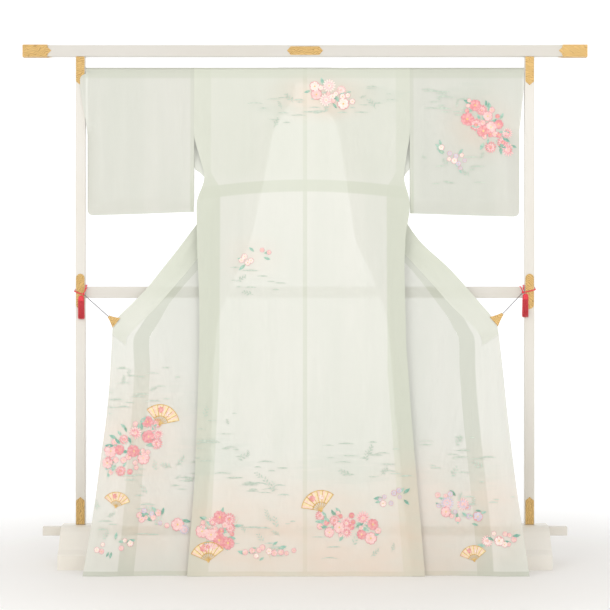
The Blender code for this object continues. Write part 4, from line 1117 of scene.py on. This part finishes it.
def draw_spray(page, spray, seed):
    rng = random.Random(seed)
    taken = []
    for k, (x, z) in enumerate(scatter(rng, spray, spray.large, 0.0125, taken)):
        radius = 0.0150 + 0.0065 * rng.random()
        main, other = spray.petals if k % 3 else spray.petals[::-1]
        if k % 2:
            page.rosette(x, z, radius, rng.random() * 6.28, main, other)
        else:
            page.blossom(x, z, radius, rng.random() * 6.28, main, "outline")
    for x, z in scatter(rng, spray, spray.small, 0.006, taken):
        colour = spray.petals[rng.random() < 0.5]
        page.blossom(x, z, 0.0065 + 0.004 * rng.random(), rng.random() * 6.28, colour, "outline")
    closer = [(*spot[:2], spot[2] - 0.003) for spot in taken]
    for x, z in scatter(rng, spray, spray.leaves, 0.001, closer):
        away = math.atan2(z - spray.z, x - spray.x) + rng.uniform(-0.7, 0.7)
        length = 0.018 + 0.012 * rng.random()
        page.leaf(x, z, away, length, rng.choice(("leaf_teal", "leaf_teal", "leaf_deep")))


def draw_haze(page, haze, seed):
    rng = random.Random(seed)
    for _ in range(haze.strokes):
        x = haze.x + haze.half_x * rng.uniform(-1, 1)
        z = haze.z + haze.half_z * rng.uniform(-1, 1)
        length = rng.uniform(0.016, 0.060)
        width = rng.uniform(0.0024, 0.0052)
        page.stroke("mist_line", 0, x, z, length, width, length * rng.uniform(-0.01, 0.09))
    for _ in range(haze.sprigs):
        x = haze.x + haze.half_x * rng.uniform(-1, 1)
        z = haze.z + haze.half_z * rng.uniform(-1, 1)
        page.sprig(x, z, rng.uniform(0.2, 2.9), rng.uniform(0.020, 0.042), "leaf_faint")


def drawn_page(name):
    """All motifs of one part of the garment."""
    page = Print()
    for seed, haze in enumerate(HAZES):
        if haze.page == name:
            draw_haze(page, haze, 301 + seed)
    for fan in FANS:
        if fan.page == name:
            page.fan(fan.x, fan.z, fan.radius, fan.angle)
    for seed, spray in enumerate(SPRAYS):
        if spray.page == name:
            draw_spray(page, spray, 31 + seed)
    return page


# Properties, operators and panel

class KimonoLooks(bpy.types.PropertyGroup):
    """Sizes and colours of the looks."""

    cloth: bpy.props.FloatVectorProperty(
        name="Cloth",
        description="Colour of one layer of the sheer cloth",
        subtype="COLOR_GAMMA",
        size=3,
        min=0,
        max=1,
        default=(0.905, 0.904, 0.866),
    )
    cloth_double: bpy.props.FloatVectorProperty(
        name="Double cloth",
        description="Colour where the cloth lies double",
        subtype="COLOR_GAMMA",
        size=3,
        min=0,
        max=1,
        default=(0.838, 0.852, 0.785),
    )
    paint: bpy.props.FloatVectorProperty(
        name="Rack",
        description="Colour of the rack's lacquer",
        subtype="COLOR_GAMMA",
        size=3,
        min=0,
        max=1,
        default=(0.884, 0.866, 0.832),
    )
    gold: bpy.props.FloatVectorProperty(
        name="Gilt",
        description="Colour of the fittings and clips",
        subtype="COLOR_GAMMA",
        size=3,
        min=0,
        max=1,
        default=(0.808, 0.658, 0.408),
    )
    silk_red: bpy.props.FloatVectorProperty(
        name="Red silk",
        description="Colour of the ties and tassels",
        subtype="COLOR_GAMMA",
        size=3,
        min=0,
        max=1,
        default=(0.930, 0.210, 0.265),
    )
    cover: bpy.props.FloatProperty(
        name="Cover",
        description="How much the back panels hide",
        subtype="FACTOR",
        min=0,
        max=1,
        default=0.93,
    )
    cover_front: bpy.props.FloatProperty(
        name="Cover of the fronts",
        description="How much the fronts and sleeves hide",
        subtype="FACTOR",
        min=0,
        max=1,
        default=0.86,
    )
    doubling: bpy.props.FloatProperty(
        name="Doubling",
        description="How clearly doubled cloth shows",
        subtype="FACTOR",
        min=0,
        max=1,
        default=0.85,
    )
    wash: bpy.props.FloatProperty(
        name="Dye washes",
        description="Strength of the peach and mist washes",
        subtype="FACTOR",
        min=0,
        max=1,
        default=0.52,
    )
    crease_depth: bpy.props.FloatProperty(
        name="Creases",
        description="Depth of the fine creases, as a share of the drawn ones",
        subtype="FACTOR",
        min=0,
        max=2,
        default=1.2,
    )
    thread_pitch: bpy.props.FloatProperty(
        name="Thread pitch",
        description="Distance between threads",
        subtype="DISTANCE",
        unit="LENGTH",
        min=0.0003,
        max=0.01,
        default=0.0012,
    )
    strands: bpy.props.IntProperty(
        name="Strands",
        description="Strands in each tassel",
        min=20,
        max=120,
        default=110,
    )
    camera_distance: bpy.props.FloatProperty(
        name="Camera distance",
        description="From the camera to the rack",
        subtype="DISTANCE",
        unit="LENGTH",
        min=1,
        max=30,
        default=6.5,
    )


class KIMONO_OT_rack(bpy.types.Operator):
    """Finishes the rack's wood and gilt fittings and adds the rivets"""

    bl_idname = "kimono.rack"
    bl_label = "Rack"

    def execute(self, context):
        gold = gold_material()
        # Each piece gets its own lighter or darker copy of the lacquer: painted light and shade.
        for start, tone in PAINT_LIGHT_AND_SHADE.items():
            paint = paint_material(f"cream_lacquer_{start}", tone)
            for name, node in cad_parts.items():
                if name.startswith(start):
                    node.material_slots[0].material = paint
        for name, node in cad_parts.items():
            if "plate" in name or name.startswith(("rail_cap", "clip")):
                node.material_slots[0].material = gold
        parts = []
        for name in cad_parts:
            if "plate" in name:
                low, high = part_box(name)
                parts += [self.rivet((x, low[1], z)) for x, z in self.places(low, high, name)]
            elif name.startswith("rail_cap"):
                low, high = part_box(name)
                for x in (low[0] + 0.012, (low[0] + high[0]) / 2, high[0] - 0.012):
                    for z in (low[2] + 0.0065, high[2] - 0.0065):
                        parts.append(self.rivet((x, low[1], z)))
        points, faces = joined(parts)
        keep(mesh_object("rivets", points, faces, [gold]), "gold_brass")
        return {"FINISHED"}

    @staticmethod
    def places(low, high, name):
        if name == "rail_plate_centre":
            xs = (low[0] + 0.016, low[0] + 0.040, high[0] - 0.040, high[0] - 0.016)
            return [(x, z) for x in xs for z in (low[2] + 0.005, high[2] - 0.005)]
        zs = (low[2] + 0.014, (low[2] + high[2]) / 2, high[2] - 0.014)
        return [(x, z) for x in (low[0] + 0.005, high[0] - 0.005) for z in zs]

    @staticmethod
    def rivet(place, radius=0.0019):
        """A low dome that stands on a front face."""
        points = [(place[0], place[1] - radius * 0.7, place[2])]
        for lift, reach in ((0.5, 0.7), (0.0, 1.0)):
            for k in range(8):
                turn = 2 * math.pi * k / 8
                points.append((
                    place[0] + radius * reach * math.cos(turn), place[1] - radius * lift,
                    place[2] + radius * reach * math.sin(turn),
                ))
        faces = [(0, 1 + k, 1 + (k + 1) % 8) for k in range(8)]
        faces += [(1 + k, 9 + k, 9 + (k + 1) % 8, 1 + (k + 1) % 8) for k in range(8)]
        return points, faces


class KIMONO_OT_body(bpy.types.Operator):
    """Makes the two back panels, the two fronts and the two overlap panels, with their pattern"""

    bl_idname = "kimono.body"
    bl_label = "Backs, fronts and overlaps"

    def execute(self, context):
        looks = settings()
        panels = {}
        for side, word in WORDS.items():
            seam = smooth_value(SECTIONS[side], "side", SPLAY_TOP)
            splay = smooth_value(SECTIONS[side], "side", 0.0) - seam
            # The tones 0.975, 0.90 and 0.95 give lighter and darker copies of the one silk: painted light and
            # shade.
            silks = {
                "back": cloth_material(
                    f"silk_back_{word}", looks.cover, 0.975, ("tuck", "hem", "centre", "shoulder"),
                    [(seam - 0.064, seam + 0.090)], splay=splay,
                ),
                "front": cloth_material(
                    f"silk_front_{word}", looks.cover_front, 0.90, ("hem",), [(-0.030, 0.062)],
                ),
                "okumi": cloth_material(
                    f"silk_okumi_{word}", looks.cover_front, 0.95, ("hem",), [(-0.030, 0.050)], deep=0.88,
                ),
            }
            for kind, grid in (("back", back_grid), ("front", front_grid), ("okumi", okumi_grid)):
                piece = cloth_object(f"{kind}_cloth_{word}", grid(side), silks[kind])
                panels[kind, word] = keep(piece, "mint_silk", f"{kind}_{word}")
        back_page = drawn_page("back")
        for word, other in (("left", "right"), ("right", "left")):
            page = drawn_page(f"lower_{word}")
            back, front, okumi = (panels[kind, word] for kind in ("back", "front", "okumi"))
            prints = [back_page.lay(f"pattern_back_{word}", back, [panels["back", other]])]
            prints = [page.lay(f"pattern_front_{word}", front, [okumi])]
            prints = [page.lay(f"pattern_okumi_{word}", okumi, [front]), self.collar_tip(word)]
        return {"FINISHED"}

    @staticmethod
    def collar_tip(word):
        """The slanted end of the collar, which lies on the overlap panel."""
        side = {name: number for number, name in WORDS.items()}[word]
        grid = []
        for share in np.linspace(0.0, 1.0, 8):
            height = COLLAR_END + 0.001 - 0.038 * share
            row = front_row(side, height)
            start = smooth_value(SECTIONS[side], "collar", height)
            end = smooth_value(SECTIONS[side], "edge", height)
            end -= (end - start) * max(0.0, share * 1.12 - 0.12) * 0.98
            line = [front_point(side, row, along) for along in np.linspace(start, end, 10)]
            grid.append([(x, y - 0.0009, z) for x, y, z in line])
        piece = cloth_object(f"collar_tip_{word}", grid, material_once("silk_collar", collar_silk))
        return keep(piece, "mint_silk_collar")


class KIMONO_OT_sleeves(bpy.types.Operator):
    """Makes the two sleeves over the pole, with the right sleeve's pattern"""

    bl_idname = "kimono.sleeves"
    bl_label = "Sleeves"

    def execute(self, context):
        looks = settings()
        for side, word in WORDS.items():
            # The tone 0.94 gives a darker copy of the one silk: painted light and shade.
            material = cloth_material(
                f"silk_sleeve_{word}", looks.cover_front, 0.94, ("shoulder",), [(-0.030, 0.012)],
            )
            piece = cloth_object(f"sleeve_cloth_{word}", sleeve_grid(side), material)
            keep(piece, "mint_silk", f"sleeve_{word}_back", f"sleeve_{word}_front")
            prints = [drawn_page("sleeve").lay("pattern_sleeve_right", piece, [])] if side > 0 else []
        return {"FINISHED"}


def collar_silk():
    # The tone 0.98 gives a darker copy of the one silk: painted light and shade.
    return cloth_material("silk_collar", 0.97, 0.98, ("whole",))


class KIMONO_OT_collar(bpy.types.Operator):
    """Makes the collar, doubled cloth from clip to clip round the back neck"""

    bl_idname = "kimono.collar"
    bl_label = "Collar"

    def execute(self, context):
        columns = 12
        grid = collar_side(-1, columns)[::-1] + collar_side(1, columns)[1:]
        piece = cloth_object("collar_cloth", grid, material_once("silk_collar", collar_silk))
        keep(piece, "mint_silk_collar", "collar")
        return {"FINISHED"}


class KIMONO_OT_trimmings(bpy.types.Operator):
    """Makes the red ties and tassels, and gives the knots, tails and grey cords to the clips their silk"""

    bl_idname = "kimono.trimmings"
    bl_label = "Ties and tassels"

    def execute(self, context):
        red = picked(settings().silk_red)
        # The second colours are painted shade for the grooves between the strands.
        silk = cord_material("red_silk", red, scaled(red, (0.85, 0.85, 0.85)), 190.0)
        grey = cord_material("grey_silk", linear((104, 98, 102)), linear((66, 62, 68)), 260.0)
        for side, word in WORDS.items():
            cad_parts[f"cord_{word}"].material_slots[0].material = grey
            for name in ("tail", "knot"):
                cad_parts[f"{name}_{word}"].material_slots[0].material = silk
            points, faces = tube_points(curve_points(tie_route(side), 90), TIE_RADIUS * 0.97, 12)
            keep(mesh_object(f"tie_silk_{word}", points, faces, [silk]), "red_silk_cord", f"tie_{word}")
            points, faces = joined(tassel_parts(side, settings().strands))
            keep(mesh_object(f"tassel_silk_{word}", points, faces, [silk]), "red_silk_cord", f"tassel_{word}")
        return {"FINISHED"}


def knot_centre(side):
    front = RACK_Y - POST_SIZE / 2 - GAP - PLATE
    return np.array([TIES[side].knot_x, front - GAP - KNOT_RADIUS, TIES[side].knot_z])


def tie_route(side):
    """The red cord: from the knot across the upright, around it and back over the middle rail."""
    knot = knot_centre(side)
    clear = GAP + TIE_RADIUS
    near = RACK_Y - POST_SIZE / 2 - GAP - PLATE - clear
    far = RACK_Y + POST_SIZE / 2 + clear
    outer = side * (POST_X + POST_SIZE / 2 + clear)
    inner = side * (POST_INNER - clear)
    over = MIDDLE_RAIL_TOP + clear + 0.0006
    start = knot[0] + side * (KNOT_RADIUS + GAP + 0.0003)
    rise = knot[2] + 0.008
    return [
        (start, near, knot[2] + 0.0006),
        (0.5 * (start + outer), near - 0.0002, knot[2] + 0.004),
        (outer - side * 0.003, near - 0.0001, rise),
        (outer + side * 0.0004, near + 0.0035, rise + 0.001),
        (outer + side * 0.0004, far - 0.0035, rise + 0.008),
        (outer - side * 0.003, far + 0.0004, rise + 0.009),
        (inner + side * 0.003, far + 0.0004, over + 0.001),
        (inner - side * 0.0004, far - 0.0035, over + 0.001),
        (inner - side * 0.0006, near + 0.006, over + 0.001),
        (inner - side * 0.0012, near + 0.001, over - 0.001),
        (0.5 * (inner + knot[0]) - side * 0.0006, near - 0.0006, knot[2] + KNOT_RADIUS + 0.0035),
    ]


def tassel_parts(side, count):
    """A bound head and fine strands that hang from it, each a little uneven."""
    tie = TIES[side]
    back = RACK_Y - POST_SIZE / 2 - GAP - PLATE - GAP
    centre = np.array([tie.tassel_x, back - TASSEL_HALF_DEPTH - 0.0002, tie.knot_z - 0.0034])
    shoulder = centre[2] - TASSEL_HEAD
    rings = []
    sides = 20
    profile = [
        (0.05, 1.0), (0.45, 0.93), (0.72, 0.80), (0.88, 0.62), (0.93, 0.50), (0.86, 0.46), (0.86, 0.40),
        (0.95, 0.36), (0.86, 0.31), (0.95, 0.27), (0.88, 0.22), (0.98, 0.12), (1.0, 0.0), (0.9, -0.12),
    ]
    for reach, lift in profile:
        for k in range(sides):
            turn = 2 * math.pi * k / sides
            rings.append((
                centre[0] + TASSEL_HALF_WIDTH * reach * 0.97 * math.cos(turn),
                centre[1] + TASSEL_HALF_DEPTH * reach * 0.97 * math.sin(turn),
                shoulder + TASSEL_HEAD * lift * 0.98,
            ))
    parts = [(rings, capped_faces(len(profile), sides))]
    rng = random.Random(11 + side)
    for k in range(count):
        reach = math.sqrt((k + 0.5) / count)
        turn = GOLDEN_TURN * k
        u = reach * math.cos(turn)
        v = reach * math.sin(turn)
        x = centre[0] + TASSEL_HALF_WIDTH * 0.90 * u
        y = centre[1] + TASSEL_HALF_DEPTH * 0.88 * v
        drop = TASSEL_LENGTH - TASSEL_HEAD - 0.006 * rng.random()
        sway = (0.0011 * rng.uniform(-1, 1), 0.0005 * rng.uniform(-1, 1))
        path = []
        for t in np.linspace(0, 1, 7):
            flare = 0.10 * t * u * TASSEL_HALF_WIDTH
            bend = math.sin(t * math.pi * 0.9)
            path.append((
                x + flare - side * 0.0010 * t + sway[0] * bend,
                y + min(v, 0) * 0.0012 * t + sway[1] * bend,
                shoulder + 0.001 - drop * t,
            ))
        parts.append(tube_points(path, STRAND_RADIUS, 4, 0.7))
    return parts


# The stage: camera, lamps, and the round floor, which rises in a curve to a wall
CAMERA_HEIGHT = 0.90
SENSOR_WIDTH = 36.0
LENS = 119.9
LENS_SHIFT = -0.0373
WORLD_STRENGTH = 0.60
Lamp = namedtuple("Lamp", "name place size power towards")
LAMPS = [
    Lamp("key", (-3.0, -3.8, 3.8), 2.6, 45.0, (0.0, 0.0, 0.85)),
    Lamp("fill", (2.0, -5.8, 2.4), 2.4, 36.0, (0.0, 0.0, 0.85)),
    Lamp("top", (0.0, 0.4, 5.0), 3.0, 20.0, (0.0, 0.0, 0.0)),
]
FLOOR_RADIUS = 10.0
FLOOR_CURVE = 2.5
WALL_TOP = 8.0
WALL_GLOW = 0.24


class KIMONO_OT_stage(bpy.types.Operator):
    """Sets the floor, the soft lights and the camera at the photograph's angle"""

    bl_idname = "kimono.stage"
    bl_label = "Stage"

    def execute(self, context):
        scene = context.scene
        world = bpy.data.worlds.new("studio")
        world.use_nodes = True
        background = world.node_tree.nodes["Background"]
        background.inputs["Color"].default_value = (1.0, 1.0, 1.0, 1.0)
        background.inputs["Strength"].default_value = WORLD_STRENGTH
        scene.world = world
        scene.view_settings.view_transform = "Standard"
        scene.view_settings.look = "None"
        self.floor()
        for lamp in LAMPS:
            self.light(lamp)
        camera = bpy.data.cameras.new("camera")
        camera.sensor_width = SENSOR_WIDTH
        camera.lens = LENS
        camera.shift_y = LENS_SHIFT
        camera.clip_start = 0.1
        camera.clip_end = 60.0
        view = bpy.data.objects.new("camera", camera)
        view.location = (0.0, RACK_Y - settings().camera_distance, CAMERA_HEIGHT)
        view.rotation_euler = (math.radians(90), 0.0, 0.0)
        scene.collection.objects.link(view)
        scene.camera = view
        return {"FINISHED"}

    @staticmethod
    def floor():
        """A pale round floor that rises in a soft curve to a white wall all round, far off."""
        profile = [(0.001, 0.0), (4.0, 0.0), (8.0, 0.0), (FLOOR_RADIUS, 0.0)]
        for t in np.linspace(0.12, math.pi / 2, 12):
            reach = FLOOR_RADIUS + FLOOR_CURVE * math.sin(t)
            profile.append((reach, FLOOR_CURVE - FLOOR_CURVE * math.cos(t)))
        profile.append((FLOOR_RADIUS + FLOOR_CURVE, WALL_TOP))
        sides = 64
        turns = [2 * math.pi * k / sides for k in range(sides)]
        points = [(r * math.cos(t), r * math.sin(t), z) for r, z in profile for t in turns]
        faces = [(a, d, c, b) for a, b, c, d in ring_faces(len(profile), sides)]
        graph = Graph("floor", 0.6)
        around = graph.stretched(graph.position, (1 / 6, 1 / 6, 1 / 6))
        near = graph.node("ShaderNodeTexGradient", {"Vector": around}, output=1, gradient_type="SPHERICAL")
        far = graph.step(near, 0.90, 0.60)
        graph.put(graph.shader.inputs["Emission Color"], (1.0, 1.0, 1.0))
        graph.put(graph.shader.inputs["Emission Strength"], graph.maths("MULTIPLY", far, WALL_GLOW))
        graph.shader.inputs["Specular IOR Level"].default_value = 0.15
        material = graph.finish(graph.mix(far, linear((248, 245, 241)), linear((255, 255, 255))))
        mesh_object("floor", points, faces, [material])

    @staticmethod
    def light(lamp):
        light = bpy.data.lights.new(lamp.name, "AREA")
        light.shape = "DISK"
        light.size = lamp.size
        light.energy = lamp.power
        holder = bpy.data.objects.new(lamp.name, light)
        holder.location = lamp.place
        holder.visible_camera = False
        aim = Vector(lamp.towards) - Vector(lamp.place)
        holder.rotation_euler = aim.to_track_quat("-Z", "Y").to_euler()
        bpy.context.scene.collection.objects.link(holder)


OPERATORS = (
    KIMONO_OT_stage, KIMONO_OT_rack, KIMONO_OT_body, KIMONO_OT_sleeves, KIMONO_OT_collar, KIMONO_OT_trimmings,
)


class KIMONO_PT_panel(bpy.types.Panel):
    """Lists the looks and the steps that build them"""

    bl_idname = "KIMONO_PT_panel"
    bl_label = "Kimono"
    bl_space_type = "VIEW_3D"
    bl_region_type = "UI"
    bl_category = "Kimono"

    def draw(self, context):
        for key in KimonoLooks.__annotations__:
            self.layout.prop(context.scene.kimono_looks, key)
        for operator in OPERATORS:
            self.layout.operator(operator.bl_idname)


CLASSES = (KimonoLooks, *OPERATORS, KIMONO_PT_panel)


def register():
    for item in CLASSES:
        bpy.utils.register_class(item)
    bpy.types.Scene.kimono_looks = bpy.props.PointerProperty(type=KimonoLooks)


def unregister():
    del bpy.types.Scene.kimono_looks
    for item in reversed(CLASSES):
        bpy.utils.unregister_class(item)


def main():
    register()
    for operator in OPERATORS:
        getattr(bpy.ops.kimono, operator.bl_idname.split(".")[1])()
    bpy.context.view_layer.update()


if __name__ == "__main__":
    main()
